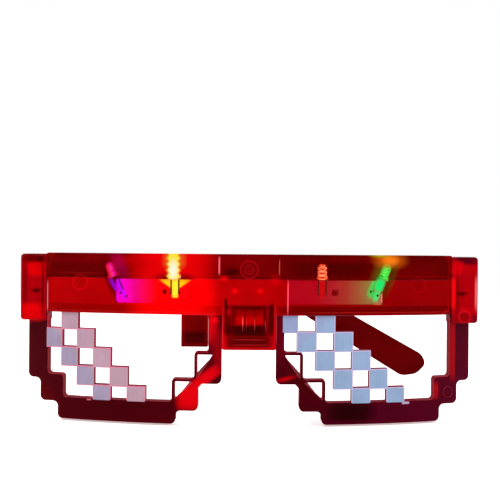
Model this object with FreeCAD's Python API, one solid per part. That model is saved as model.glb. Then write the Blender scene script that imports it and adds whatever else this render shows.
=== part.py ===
import FreeCAD, Part

import math
import os

from FreeCAD import Vector

# Light up party glasses: a wrapped front with stepped rims and a checker lattice across each
# window, a hollow bar with four lamps on two boards, three button cells in the bridge, and two
# folding temples. Millimetres, +X to the right as seen from the front, +Y to the wearer, +Z up.
# The origin is the front edge of the bridge's underside, which rests on the nose.
# The left temple is folded in and the right one is open, so that each can turn by itself.

# Wrap of the front
wrap_radius = 145.0
overrun = 1.0
running_gap = 0.05
small_corner = 0.25
small_edge = 0.5
edge_share = 0.47

# Bar
bar_half_width = 69.0
bar_top = 31.2
bar_bottom = 11.3
bar_depth = 10.4
bar_wall = 1.5
bar_corner = 1.2
panel_top = 23.0
panel_inset = 1.4
panel_rise = 0.6
panel_corner = 1.6

# Windows, as half widths from the middle and heights
lens_outer_inset = 1.0
lens_outer_step = 5.7
lens_outer_ledge = -9.7
lens_bottom = -17.3
lens_nose_x = 13.2
lens_nose_right_x = 11.6
lens_nose_step = 4.6
lens_nose_ledge = -0.8
lens_low_step = 7.4
lens_low_ledge = -9.7
lens_corner = 1.1

# Rims, as walls outside the windows
rim_front = 0.7
rim_depth = 6.0
rim_wall = 7.2
rim_step_wall = 8.4
rim_corner_wall = 2.0
rim_ledge_drop = 1.5
rim_nose_drop = 2.8
rim_thin_wall = 0.9
rim_nose_step_wall = 1.3
rim_nose_wall = 4.3
rim_corner = 1.7

# Nose pads
pad_thickness = 1.6
pad_reach = 9.0
pad_lean = 1.2
pad_top_x = 10.5
pad_low_x = 23.2
pad_top = -2.2
pad_low = -17.4

# Checker lattice, laid out along the wrapped front
check_pitch = 6.15
check_start = 2.5
check_rows = 5
check_top = 11.85
check_edge = 0.25
check_front = 0.35
check_depth = 5.0
foil_thickness = 0.15
foil_margin = 0.3

# Bridge with its battery box
bridge_half_width = 9.1
bridge_depth = 13.8
bridge_wall = 1.5
battery_half_width = 6.3
battery_top = 13.2
battery_divider = 1.1

# End blocks and hinges
block_lap = 0.4
block_width = 8.8
block_top = 30.8
block_bottom = 8.4
block_proud = 1.07
block_corner = 1.2
block_wall = 1.5
hinge_out = 4.0
fold_gap = 0.4
lug_web = 2.3
lug_radius = 2.7
lug_height = 4.4
lug_inset = 1.0
pin_radius = 0.8
pin_inset = 0.6
hinge_gap = 0.15

# Temples, along their own length from the hinge
temple_thickness = 2.6
temple_bend = 84.0
temple_length = 135.0
temple_height = 8.6
temple_taper = 1.6
temple_hook_drop = 34.9
temple_tip_height = 6.9
temple_heel_length = 14.0
temple_heel_rise = 2.6
temple_corner = 1.6
temple_tip_corner = 4.5
temple_open_angle = 98.0

# Cover behind the bar
cover_thickness = 1.6
cover_gap = 0.15
boss_inset = 12.5
boss_z = 21.4
boss_middle_z = 26.1
boss_radius = 2.6
boss_middle_radius = 3.0
screw_radius = 1.0
screw_head_radius = 1.9
screw_head_height = 1.0
screw_length = 7.0
slot_width = 0.5

# Switch pod on the cover
pod_outer_x = 22.5
pod_inner_x = 13.7
pod_bottom = 0.3
pod_top = 14.0
pod_front = 9.0
pod_back = 17.0
pod_wall = 1.2
pod_gap = 0.2
switch_size = 6.0
switch_height = 3.5
switch_middle_z = 6.2
plunger_radius = 1.6
plunger_seat = 1.2
plunger_rise = 0.9
button_radius = 2.5
button_flange_radius = 3.2
button_rise = 1.3
button_travel = 0.5

# Boards and what is on them
board_inner_x = 11.6
board_outer_inset = 23.8
board_bottom = 14.5
board_top = 22.6
board_thickness = 1.2
board_front = 4.75
board_corner = 1.0
board_hole_z = 18.5
board_hole_radius = 0.95
post_radius = 1.7
post_pin_radius = 0.6
chip_radius = 3.0
chip_height = 1.1
chip_gap = 0.4
post_gap = 0.9
resistor_length = 2.0
resistor_width = 1.25
resistor_height = 0.6
resistor_gap = 1.2
resistor_inset = 1.5

# Lamps
led_radius = 1.5
led_flange_radius = 1.9
led_flange = 1.0
led_height = 5.3
led_gap = 0.05
lead_width = 0.5
lead_pitch = 2.54
lead_length = 5.0
cup_width = 1.1
cup_height = 1.3
yellow_x = 24.6
orange_x = 24.1
green_inset = 0.8
violet_z = 23.3
yellow_z = 23.1
orange_z = 22.9
green_z = 23.2
violet_angle = -22.0
green_angle = 21.0

# Button cells and their contacts
cell_radius = 5.8
cell_thickness = 3.05
cell_cap_radius = 4.6
cell_cap_height = 0.4
cell_y = 7.8
cell_z = 7.35
contact_thickness = 0.3
contact_width = 5.0
contact_tab_width = 2.0
contact_tab_rise = 4.2
contact_dimple_radius = 2.4

# Battery door
door_thickness = 1.6
door_half_width = 8.5
door_bottom = 0.2
door_corner = 1.0
tower_top = 19.8
door_screw_z = 17.2
door_screw_length = 6.0

# Wires
wire_radius = 0.5
link_wire_zs = (20.7, 22.0)

head_reach = 200.0
up = Vector(0, 0, 1)
back = Vector(0, 1, 0)
across = Vector(1, 0, 0)
low_z = lens_bottom - rim_wall - overrun
high_z = bar_top + overrun


def front_y(x, depth=0.0):
    """The y of the wrapped surface that lies depth behind the front, at x."""
    radius = wrap_radius - depth
    return wrap_radius - math.sqrt(radius * radius - x * x)


# Places that follow the bar's width and the wrap

lens_outer_x = bar_half_width - lens_outer_inset
window_arc = wrap_radius * math.asin(lens_outer_x / wrap_radius)
check_last_column = int((window_arc + check_start) / check_pitch)
boss_x = bar_half_width - boss_inset
cover_front = bar_depth + running_gap
cover_rear = cover_front + cover_thickness
cover_half_width = bar_half_width - cover_gap - bar_wall / 2
block_inner_x = bar_half_width - block_lap
block_outer_x = block_inner_x + block_width
hinge_x = bar_half_width + hinge_out
hinge_y = front_y(cover_half_width, cover_rear) + fold_gap + temple_thickness / 2
block_front = front_y(bar_half_width) - block_proud
block_back = hinge_y - lug_web
switch_x = -(pod_outer_x + pod_inner_x) / 2
board_outer_x = bar_half_width - board_outer_inset
wire_spread = switch_size / 6
chip_x = -switch_x + wire_spread + wire_radius + chip_gap + chip_radius
board_hole_x = chip_x + chip_radius + post_gap + post_radius
resistor_xs = (board_inner_x + resistor_inset, board_hole_x + post_radius + resistor_gap)
leds = {
    "led_violet": (-board_outer_x, violet_z, violet_angle),
    "led_yellow": (-yellow_x, yellow_z, 0),
    "led_orange": (orange_x, orange_z, 0),
    "led_green": (board_outer_x - green_inset, green_z, green_angle),
}


def slab(front, rear):
    """A full ring of the wrap between two depths."""
    base = Vector(0, wrap_radius, low_z)
    outer = Part.makeCylinder(wrap_radius - front, high_z - low_z, base, up)
    return outer.cut(Part.makeCylinder(wrap_radius - rear, high_z - low_z, base, up))


def rounded_face(points, corner):
    """A face in the XZ plane whose corners are rounded by the radius, as far as its edges allow.

    A point may have a third value, a radius of its own.
    """
    flat = [Vector(point[0], -head_reach, point[1]) for point in points]
    radii = [point[2] if len(point) > 2 else corner for point in points]
    edges = []
    starts, ends, middles = [], [], []
    for i, (point, rounding) in enumerate(zip(flat, radii)):
        before, after = flat[i - 1], flat[(i + 1) % len(flat)]
        into, out = before - point, after - point
        turn = into.getAngle(out) / 2
        reach = min(rounding / math.tan(turn), edge_share * into.Length, edge_share * out.Length)
        radius = reach * math.tan(turn)
        into.normalize()
        out.normalize()
        bisector = (into + out).normalize()
        starts.append(point + into * reach)
        ends.append(point + out * reach)
        middles.append(point + bisector * (radius / math.sin(turn) - radius))
    for i in range(len(flat)):
        edges.append(Part.Arc(starts[i], middles[i], ends[i]).toShape())
        edges.append(Part.LineSegment(ends[i], starts[(i + 1) % len(flat)]).toShape())
    return Part.Face(Part.Wire(edges))


def drawn(face):
    """The face drawn back along Y through the whole depth."""
    return face.extrude(Vector(0, 2 * head_reach, 0))


def wrapped(points, corner, front, rear):
    """An outline drawn along Y and kept between two depths of the wrapped front."""
    near = box(-head_reach, head_reach, -head_reach / 2, head_reach / 2, low_z, high_z)
    return drawn(rounded_face(points, corner)).common(slab(front, rear)).common(near)


def rectangle(x0, x1, z0, z1):
    return [(x0, z0), (x1, z0), (x1, z1), (x0, z1)]


def mirrored(shape):
    return shape.mirror(Vector(0, 0, 0), across)


def box(x0, x1, y0, y1, z0, z1):
    return Part.makeBox(x1 - x0, y1 - y0, z1 - z0, Vector(x0, y0, z0))


def fused(shapes):
    joined = shapes[0]
    for shape in shapes[1:]:
        joined = joined.fuse(shape)
    return joined.removeSplitter()


def along(s):
    """The x of a point at arc length s along the wrapped front."""
    return wrap_radius * math.sin(s / wrap_radius)


# Window and rim outlines, drawn for the right lens

window_points = [
    (lens_nose_x + lens_nose_step, lens_nose_ledge),
    (lens_nose_x + lens_nose_step, lens_low_ledge),
    (lens_nose_x + lens_nose_step + lens_low_step, lens_low_ledge),
    (lens_nose_x + lens_nose_step + lens_low_step, lens_bottom),
    (lens_outer_x - lens_outer_step, lens_bottom),
    (lens_outer_x - lens_outer_step, lens_outer_ledge),
    (lens_outer_x, lens_outer_ledge),
    (lens_outer_x, bar_bottom),
]
rim_nose_x = lens_nose_x - rim_nose_wall
rim_middle_x = lens_nose_x + lens_nose_step - rim_nose_step_wall
rim_low_x = rim_middle_x + lens_low_step
rim_points = [
    (rim_nose_x, bar_bottom + bar_wall),
    (rim_nose_x, lens_low_ledge - rim_ledge_drop),
    (rim_middle_x, lens_low_ledge - rim_ledge_drop),
    (rim_middle_x, lens_bottom - rim_nose_drop),
    (rim_low_x, lens_bottom - rim_nose_drop),
    (rim_low_x, lens_bottom - rim_wall),
    (lens_outer_x - lens_outer_step + rim_corner_wall, lens_bottom - rim_wall),
    (lens_outer_x - lens_outer_step + rim_corner_wall, lens_bottom - rim_ledge_drop),
    (lens_outer_x - lens_outer_step + rim_step_wall, lens_bottom - rim_ledge_drop),
    (lens_outer_x - lens_outer_step + rim_step_wall, lens_outer_ledge - rim_ledge_drop),
    (lens_outer_x + rim_wall, lens_outer_ledge - rim_ledge_drop),
    (lens_outer_x + rim_wall, bar_bottom + bar_wall),
]
gap_middle_x = lens_nose_x + lens_nose_step - rim_thin_wall
gap_low_x = gap_middle_x + lens_low_step
gap_points = [
    (pad_top_x + pad_lean, lens_nose_ledge - rim_thin_wall),
    (gap_middle_x, lens_nose_ledge - rim_thin_wall),
    (gap_middle_x, lens_low_ledge),
]
low_gap_points = [
    (rim_middle_x + pad_thickness, lens_low_ledge - rim_thin_wall),
    (gap_low_x, lens_low_ledge - rim_thin_wall),
    (gap_low_x, pad_low + rim_thin_wall),
]


def rim(side):
    """The stepped ring, with the see-through gaps between its thin wall and the nose pad."""
    rear = rim_front + rim_depth
    nose_x = lens_nose_right_x if side > 0 else lens_nose_x
    window = [(nose_x, bar_bottom), (nose_x, lens_nose_ledge)] + window_points
    ring = wrapped(rim_points, rim_corner, rim_front, rear)
    ring = ring.cut(wrapped(window, lens_corner, rim_front - overrun, rear + overrun))
    for points in (gap_points, low_gap_points):
        ring = ring.cut(wrapped(points, small_corner, rim_front - overrun, rear + overrun))
    return ring if side > 0 else mirrored(ring)


def right_nose_pad():
    """A smooth slanting flange behind the steps, round at the back, which leans outwards."""
    front = front_y(pad_top_x, rim_front + rim_depth / 2)
    rear = front_y(pad_low_x, rim_front + rim_depth) + pad_reach
    points = [
        (pad_top_x, pad_top),
        (pad_low_x, pad_low),
        (pad_low_x - pad_thickness, pad_low - pad_thickness),
        (pad_top_x - pad_thickness, pad_top - pad_thickness),
    ]
    corners = [Vector(x, front, z) for x, z in points]
    face = Part.Face(Part.makePolygon(corners + corners[:1]))
    plate = face.extrude(Vector(pad_lean, rear - front, 0))
    half_height = (pad_top - pad_low + pad_thickness) / 2
    middle = (pad_top + pad_low - pad_thickness) / 2
    span = pad_low_x + pad_lean + overrun
    centre = Vector(0, rear - half_height, middle)
    rounding = Part.makeCylinder(half_height, span, centre, across)
    block = box(0, span, front - overrun, rear - half_height, middle - half_height, middle + half_height)
    return plate.common(rounding.fuse(block))


def check_cells(side):
    """The column and row of each raised square, counted from the middle and from the top."""
    cells = []
    for row in range(1, check_rows + 1):
        first = row + 1 if side > 0 else check_last_column - row
        cells += [(column, row) for column in (first, first + 2) if column <= check_last_column]
    return cells


def check_square(column, row, margin):
    """The corners of one square of the grid, drawn in by the margin."""
    low = column * check_pitch - check_start
    top = check_top - (row - 1) * check_pitch
    x0, x1 = along(low + margin), along(low + check_pitch - margin)
    return x0, x1, top - check_pitch + margin, top - margin


def lattice(side):
    """The raised squares of one lens, which overlap a little at their corners."""
    squares = []
    for column, row in check_cells(side):
        x0, x1, z0, z1 = check_square(column, row, -check_edge)
        squares.append(box(max(x0, rim_nose_x + overrun), x1, -overrun, wrap_radius / 2, z0, z1))
    shape = fused(squares).common(slab(check_front, check_front + check_depth))
    return shape if side > 0 else mirrored(shape)


def silver_squares(side):
    """Thin foil squares that lie on the fronts of the raised ones."""
    foils = []
    nearest = rim_nose_x + rim_nose_wall / 2
    lowest = lens_bottom - check_edge
    for column, row in check_cells(side):
        x0, x1, z0, z1 = check_square(column, row, foil_margin - check_edge)
        foil = box(max(x0, nearest), x1, -overrun, wrap_radius / 2, max(z0, lowest), min(z1, bar_bottom))
        foils.append(foil.common(slab(check_front - foil_thickness, check_front)))
    shape = Part.makeCompound(foils)
    return shape if side > 0 else mirrored(shape)


def bar_boss_places():
    """Middle of each cover screw and the radius of its boss."""
    return [
        (-boss_x, boss_z, boss_radius),
        (0, boss_middle_z, boss_middle_radius),
        (boss_x, boss_z, boss_radius),
    ]


def rod(x, y0, y1, z, radius):
    return Part.makeCylinder(radius, y1 - y0, Vector(x, y0, z), back)


def bar_shell():
    """The hollow bar, open at the back, with its raised front panel and screw bosses."""
    outline = rectangle(-bar_half_width, bar_half_width, bar_bottom, bar_top)
    shell = wrapped(outline, bar_corner, 0, bar_depth)
    panel_half_width = bar_half_width - panel_inset
    panel = rectangle(-panel_half_width, panel_half_width, bar_bottom, panel_top)
    shell = shell.fuse(wrapped(panel, panel_corner, -panel_rise, bar_wall / 2))
    inner_width = bar_half_width - bar_wall
    hollow = rectangle(-inner_width, inner_width, bar_bottom + bar_wall, bar_top - bar_wall)
    shell = shell.cut(wrapped(hollow, bar_corner, bar_wall, bar_depth + overrun))
    for x, z, radius in bar_boss_places():
        boss = rod(x, -overrun, wrap_radius / 2, z, radius)
        shell = shell.fuse(boss.common(slab(bar_wall / 2, bar_depth)))
    return shell


def end_block():
    """The right end block: a rounded box with a hinge pocket between two lugs at the back."""
    block = box(block_inner_x, block_outer_x, block_front, block_back, block_bottom, block_top)
    before, beyond = block_back - small_edge, block_inner_x + small_edge
    rounded = [e for e in block.Edges if e.CenterOfMass.y < before and e.CenterOfMass.x > beyond]
    block = block.makeFillet(block_corner, rounded)
    lugs = []
    for low in (block_bottom + lug_inset, block_top - lug_inset - lug_height):
        lug = Part.makeCylinder(lug_radius, lug_height, Vector(hinge_x, hinge_y, low), up)
        web = box(hinge_x - lug_radius, hinge_x + lug_radius, block_back - overrun, hinge_y,
                  low, low + lug_height)
        lugs += [lug, web]
    block = fused([block] + lugs)
    pocket_low = block_bottom + lug_inset + lug_height
    pocket_high = block_top - lug_inset - lug_height
    pocket = box(block_inner_x + block_wall, block_outer_x - block_wall, block_front + block_wall,
                 block_back + overrun, pocket_low, pocket_high)
    hole_radius = pin_radius + running_gap
    hole = Part.makeCylinder(hole_radius, block_top - block_bottom,
                             Vector(hinge_x, hinge_y, block_bottom), up)
    return block.cut(pocket).cut(hole)


def bridge():
    """The box over the nose that holds the button cells, with a tower for the door's screw."""
    outline = rectangle(-bridge_half_width, bridge_half_width, 0, tower_top)
    body = drawn(rounded_face(outline, bar_corner))
    return body.common(box(-bridge_half_width, bridge_half_width, 0, bridge_depth, 0, tower_top))


def bridge_cuts():
    """The battery box and the hollow of the bar in front of the tower."""
    cells = box(-battery_half_width, battery_half_width, bridge_wall, bridge_depth + overrun,
                bridge_wall, battery_top)
    hollow = wrapped(rectangle(-bridge_half_width, bridge_half_width, battery_top + battery_divider,
                               tower_top + overrun), small_corner, bar_wall, bar_depth)
    return cells, hollow


def front_frame():
    block, pad = end_block(), right_nose_pad()
    frame = bar_shell()
    for side in (1, -1):
        frame = frame.fuse(rim(side).fuse(lattice(side)).removeSplitter())
    for piece in (block, mirrored(block), bridge(), pad, mirrored(pad)):
        frame = frame.fuse(piece)
    for cut in bridge_cuts():
        frame = frame.cut(cut)
    screw_boss = rod(0, bar_wall / 2, bridge_depth, door_screw_z, boss_radius)
    frame = frame.fuse(screw_boss)
    hole = screw_radius + running_gap
    for x, z, radius in bar_boss_places():
        tip = cover_seat_y(x) - screw_length - cover_gap
        frame = frame.cut(rod(x, tip, cover_seat_y(x), z, hole))
    door_seat = bridge_depth + door_thickness - screw_head_height
    frame = frame.cut(rod(0, door_seat - door_screw_length - cover_gap, bridge_depth + overrun,
                          door_screw_z, hole))
    pod_notch = box(-pod_outer_x - pod_gap, -pod_inner_x + pod_gap, pod_front - pod_gap,
                    wrap_radius / 2, pod_bottom, bar_bottom + bar_wall + pod_gap)
    frame = frame.cut(pod_notch)
    slot_half = contact_tab_width / 2 + running_gap
    slot = box(battery_half_width - contact_thickness - running_gap, battery_half_width + running_gap,
               cell_y - slot_half, cell_y + slot_half,
               battery_top - overrun / 2, battery_top + battery_divider + overrun)
    for cut in (slot, mirrored(slot)):
        frame = frame.cut(cut)
    return frame.removeSplitter()


def cover_flat_y(x):
    """The flat end of a screw boss on the cover."""
    return front_y(abs(x) + boss_middle_radius, cover_rear) + cover_gap


def cover_seat_y(x):
    return cover_flat_y(x) - screw_head_height


def back_cover():
    """A wrapped cover with screw bosses, board posts and the switch pod."""
    outline = rectangle(-cover_half_width, cover_half_width, bar_bottom, bar_top)
    cover = wrapped(outline, bar_corner, cover_front, cover_rear)
    behind = Part.makeCylinder(wrap_radius - cover_front, high_z - low_z, Vector(0, wrap_radius, low_z), up)
    for x, z, radius in bar_boss_places():
        boss = rod(x, 0, cover_flat_y(x), z, boss_middle_radius)
        cover = cover.fuse(boss.common(behind))
    notch = box(-bridge_half_width - cover_gap, bridge_half_width + cover_gap, 0, bridge_depth + overrun,
                bar_bottom - overrun, tower_top + cover_gap)
    cover = cover.cut(notch)
    for side in (-1, 1):
        run = (board_hole_x - board_inner_x) * math.cos(board_angle())
        x = side * (board_inner_x + run - board_thickness / 2 * math.sin(board_angle()))
        near = board_y(board_hole_x)
        shoulder = (near + board_thickness / math.cos(board_angle()) + post_radius * math.tan(board_angle())
                    + cover_gap)
        post = rod(x, shoulder, wrap_radius / 2, board_hole_z, post_radius)
        pin = rod(x, near - board_thickness / 2, wrap_radius / 2, board_hole_z, post_pin_radius)
        cover = cover.fuse(post.fuse(pin).cut(behind))
    shelf = bar_bottom + bar_wall
    pod = fused([box(-pod_outer_x, -pod_inner_x, pod_front, pod_back, pod_bottom, shelf),
                 box(-pod_outer_x, -pod_inner_x, front_y(pod_outer_x, cover_front), pod_back,
                     shelf - overrun, pod_top)])
    cover = cover.fuse(pod)
    left, right, near = -pod_outer_x + pod_wall, -pod_inner_x - pod_wall, pod_front + pod_wall
    inside = box(left, right, near, pod_back - pod_wall, pod_bottom + pod_wall, shelf)
    top_way = box(left, right, near, front_y(pod_inner_x, cover_front), shelf - overrun, shelf + overrun)
    cover = cover.cut(inside).cut(top_way)
    cover = cover.cut(rod(switch_x, pod_back - pod_wall - overrun, pod_back + overrun, switch_middle_z,
                          button_radius + cover_gap))
    for x, z, radius in bar_boss_places():
        cover = cover.cut(rod(x, 0, wrap_radius / 2, z, screw_radius + running_gap))
        cover = cover.cut(rod(x, cover_seat_y(x), wrap_radius / 2, z, screw_head_radius + running_gap))
    return cover.removeSplitter()


def board_angle():
    rise = front_y(board_outer_x, board_front) - front_y(board_inner_x, board_front)
    return math.atan2(rise, board_outer_x - board_inner_x)


def board_y(x):
    """The front face of the flat board at x."""
    return front_y(board_inner_x, board_front) + (abs(x) - board_inner_x) * math.tan(board_angle())


def right_circuit_board():
    points = [
        (board_inner_x, board_bottom),
        (board_outer_x - board_corner, board_bottom),
        (board_outer_x, board_bottom + board_corner),
        (board_outer_x, board_top),
        (board_inner_x, board_top),
    ]
    face = Part.Face(Part.makePolygon([Vector(x, 0, z) for x, z in points + points[:1]]))
    board = face.extrude(Vector(0, board_thickness, 0))
    rear = board_thickness + overrun
    return on_board(board.cut(rod(board_hole_x, -overrun, rear, board_hole_z, board_hole_radius)))


def on_board(shape):
    """Turn a piece drawn flat at y 0 onto the tilted right board."""
    shape.translate(Vector(-board_inner_x, 0, 0))
    shape.rotate(Vector(0, 0, 0), up, math.degrees(board_angle()))
    shape.translate(Vector(board_inner_x, board_y(board_inner_x), 0))
    return shape


def control_chip():
    """A domed drop of resin on the rear of the left board."""
    rise = chip_height
    ball = (chip_radius * chip_radius + rise * rise) / (2 * rise)
    middle = (board_bottom + board_top) / 2
    drop = Part.makeSphere(ball, Vector(chip_x, board_thickness + rise - ball, middle))
    drop = drop.common(box(chip_x - ball, chip_x + ball, board_thickness, board_thickness + rise + overrun,
                           board_bottom - ball, board_top + ball))
    return mirrored(on_board(drop))


def resistors():
    middle = (board_bottom + board_top) / 2
    shapes = []
    for x in resistor_xs:
        chip = on_board(box(x, x + resistor_length, board_thickness, board_thickness + resistor_height,
                            middle, middle + resistor_width))
        shapes += [chip, mirrored(chip)]
    return Part.makeCompound(shapes)


def led_place(shape, x, z, lean):
    """Stand a lamp drawn at the origin at its place on a board, leaning by the angle."""
    reach = lead_length * abs(math.sin(math.radians(lean))) + (lead_pitch + lead_width) / 2
    clear = lead_width / 2 + led_gap + reach * math.tan(board_angle())
    shape.rotate(Vector(0, 0, 0), back, lean)
    shape.translate(Vector(x, board_y(x) - clear, z))
    return shape


def lead_frame():
    """Two square leads; one ends in a wide cup under the dome and the other in a post."""
    half = lead_width / 2
    shapes = []
    for side, width, rise in ((-1, cup_width, cup_height), (1, lead_width, cup_height / 2)):
        x = side * lead_pitch / 2
        lead = box(x - half, x + half, -half, half, -lead_length, led_flange)
        head_x = x - side * cup_width / 2
        head = box(min(x - half, head_x - width / 2), max(x + half, head_x + width / 2), -half, half,
                   led_flange, led_flange + rise)
        shapes.append(fused([lead, head]))
    return shapes


def led_body():
    """The clear lamp: a flange, a straight body and a dome, with the leads' space cut out."""
    flange = Part.makeCylinder(led_flange_radius, led_flange)
    barrel = Part.makeCylinder(led_radius, led_height - led_radius)
    dome = Part.makeSphere(led_radius, Vector(0, 0, led_height - led_radius))
    body = fused([flange, barrel, dome])
    for lead in lead_frame():
        body = body.cut(lead)
    return body


def led_leads():
    shapes = []
    for x, z, lean in leds.values():
        shapes += [led_place(lead, x, z, lean) for lead in lead_frame()]
    return Part.makeCompound(shapes)


def button_cell(index):
    """One cell: a can with a narrower cap, standing on edge across the bridge."""
    end = Vector((index - 1) * cell_thickness - cell_thickness / 2, cell_y, cell_z)
    cap = Part.makeCylinder(cell_cap_radius, cell_cap_height, end, across)
    shoulder = end + across * cell_cap_height
    can = Part.makeCylinder(cell_radius, cell_thickness - cell_cap_height, shoulder, across)
    return can.fuse(cap)


def contact(side):
    """A springy plate with a dimple that presses on the end cell, and a tab up into the bar."""
    wall_x = battery_half_width - contact_thickness
    face_x = cell_thickness * 3 / 2
    plate = box(wall_x, battery_half_width, cell_y - contact_width / 2, cell_y + contact_width / 2,
                cell_z - contact_width / 2, battery_top)
    tab = box(wall_x, battery_half_width, cell_y - contact_tab_width / 2, cell_y + contact_tab_width / 2,
              battery_top - overrun, battery_top - overrun + contact_tab_rise)
    dimple = Part.makeCone(contact_dimple_radius, contact_dimple_radius / 2, wall_x - face_x,
                           Vector(wall_x, cell_y, cell_z), Vector(-1, 0, 0))
    shape = fused([plate, tab, dimple])
    return shape if side > 0 else mirrored(shape)


def battery_door():
    outline = rectangle(-door_half_width, door_half_width, door_bottom, tower_top)
    door = drawn(rounded_face(outline, door_corner))
    front = bridge_depth + running_gap
    rear = front + door_thickness
    door = door.common(box(-door_half_width, door_half_width, front, rear, door_bottom, tower_top))
    door = door.cut(rod(0, rear - screw_head_height, rear + overrun, door_screw_z,
                        screw_head_radius + running_gap))
    return door.cut(rod(0, 0, front + overrun, door_screw_z, screw_radius + running_gap))


def screw(x, seat, z, length):
    """A pan head with a cross slot on a plain shank that points to the front."""
    head = rod(x, seat, seat + screw_head_height, z, screw_head_radius)
    shank = rod(x, seat - length, seat, z, screw_radius)
    reach = screw_head_radius / math.sqrt(2)
    deep = seat + screw_head_height / 2
    body = fused([head, shank])
    rear = seat + screw_head_height + overrun
    for wide, tall in ((reach, slot_width / 2), (slot_width / 2, reach)):
        body = body.cut(box(x - wide, x + wide, deep, rear, z - tall, z + tall))
    return body


def temple_outline():
    """Points along the temple, with the hinge at zero: a straight arm, then the ear hook."""
    top = (block_bottom + block_top) / 2 + temple_height / 2 + temple_taper / 2
    low = top - temple_height - temple_taper
    hook_length = temple_length - temple_bend
    slope = temple_hook_drop / hook_length
    tip_top = top - temple_hook_drop + temple_tip_height
    return [
        (0, low),
        (0, top),
        (temple_bend, top - temple_taper / 4),
        (temple_length - temple_corner, tip_top, temple_tip_corner),
        (temple_length, tip_top - temple_tip_height / 2, temple_tip_corner),
        (temple_length - temple_tip_height / 2, top - temple_hook_drop, temple_tip_corner),
        (temple_length - temple_heel_length / 2 - temple_corner, top - temple_hook_drop - slope,
         temple_tip_corner),
        (temple_length - temple_heel_length, top - temple_hook_drop + temple_heel_rise, temple_tip_corner),
        (temple_bend - temple_corner, low + temple_taper),
    ]


def temple():
    """A temple folded along +X from a hinge at zero, with its barrel."""
    half = temple_thickness / 2
    arm = rounded_face(temple_outline(), temple_corner).extrude(Vector(0, temple_thickness, 0))
    arm.translate(Vector(0, head_reach - half, 0))
    arm = arm.makeFillet(small_edge, [e for e in arm.Edges if e.BoundBox.YLength < small_edge])
    keep_low = block_bottom + lug_inset + lug_height + hinge_gap
    keep_high = block_top - lug_inset - lug_height - hinge_gap
    barrel = Part.makeCylinder(lug_radius, keep_high - keep_low, Vector(0, 0, keep_low), up)
    arm = arm.fuse(barrel)
    reach = block_outer_x
    clear_x, clear_y = lug_radius + hinge_gap + overrun, lug_radius + overrun
    for z0, z1 in ((keep_high, keep_high + reach), (keep_low - reach, keep_low)):
        arm = arm.cut(box(-lug_radius, clear_x, -clear_y, clear_y, z0, z1))
    arm = arm.cut(Part.makeCylinder(pin_radius + running_gap, 2 * reach, Vector(0, 0, -reach), up))
    return arm.removeSplitter()


def left_temple():
    shape = temple()
    shape.translate(Vector(-hinge_x, hinge_y, 0))
    return shape


def right_temple():
    shape = temple()
    shape = mirrored(shape)
    shape.rotate(Vector(0, 0, 0), up, -temple_open_angle)
    shape.translate(Vector(hinge_x, hinge_y, 0))
    return shape


def hinge_pin(side):
    low = block_bottom + lug_inset - pin_inset / 2
    length = block_top - lug_inset - pin_inset - low
    return Part.makeCylinder(pin_radius, length, Vector(side * hinge_x, hinge_y, low), up)


def switch_body():
    half = switch_size / 2
    seat = pod_front + pod_wall
    rear = seat + switch_height
    body = box(switch_x - half, switch_x + half, seat, rear, switch_middle_z - half, switch_middle_z + half)
    return body.cut(rod(switch_x, rear - plunger_seat, rear + overrun, switch_middle_z,
                        plunger_radius + running_gap))


def switch_plunger():
    top = pod_front + pod_wall + switch_height
    low = top - plunger_seat + button_travel + running_gap
    return rod(switch_x, low, top + plunger_rise, switch_middle_z, plunger_radius)


def push_button():
    seat = pod_front + pod_wall + switch_height + plunger_rise
    flange = rod(switch_x, seat, pod_back - pod_wall - running_gap, switch_middle_z, button_flange_radius)
    stem = rod(switch_x, seat, pod_back + button_rise, switch_middle_z, button_radius)
    stem = stem.makeFillet(small_edge, [e for e in stem.Edges if e.CenterOfMass.y > pod_back])
    return fused([flange, stem])


def tube(points, radius, bend):
    """A wire along straight runs joined by tangent arcs."""
    edges = []
    start = points[0]
    for before, point, after in zip(points, points[1:], points[2:]):
        into, out = (before - point).normalize(), (after - point).normalize()
        turn = into.getAngle(out) / 2
        reach = bend / math.tan(turn)
        bisector = (into + out).normalize()
        near, far = point + into * reach, point + out * reach
        middle = point + bisector * (bend / math.sin(turn) - bend)
        edges += [Part.LineSegment(start, near).toShape(), Part.Arc(near, middle, far).toShape()]
        start = far
    edges.append(Part.LineSegment(start, points[-1]).toShape())
    path = Part.Wire(edges)
    profile = Part.Wire(Part.makeCircle(radius, points[0], points[1] - points[0]))
    return path.makePipeShell([profile], True, False)


def board_rear_y(x):
    return board_y(x) + board_thickness / math.cos(board_angle()) + cover_gap


def link_wires():
    """Two wires behind the middle of the bar, from one board to the other."""
    shapes = []
    x = board_inner_x + wire_radius * 3
    y = board_rear_y(x) + wire_radius * 4
    for z in link_wire_zs:
        near = board_rear_y(x)
        points = [Vector(-x, near, z), Vector(-x, y, z), Vector(x, y, z), Vector(x, near, z)]
        shapes.append(tube(points, wire_radius, wire_radius * 3))
    return Part.makeCompound(shapes)


def switch_wires():
    """Two wires from the top of the switch up to the rear of the left board."""
    shapes = []
    y = pod_front + pod_wall + wire_radius + cover_gap
    low = switch_middle_z + switch_size / 2 + running_gap
    z = board_bottom + wire_radius * 3
    for side in (-1, 1):
        x = switch_x + side * wire_spread
        points = [Vector(x, y, low), Vector(x, y, z), Vector(x, board_rear_y(x), z)]
        shapes.append(tube(points, wire_radius, wire_radius * 2))
    return Part.makeCompound(shapes)


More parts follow.
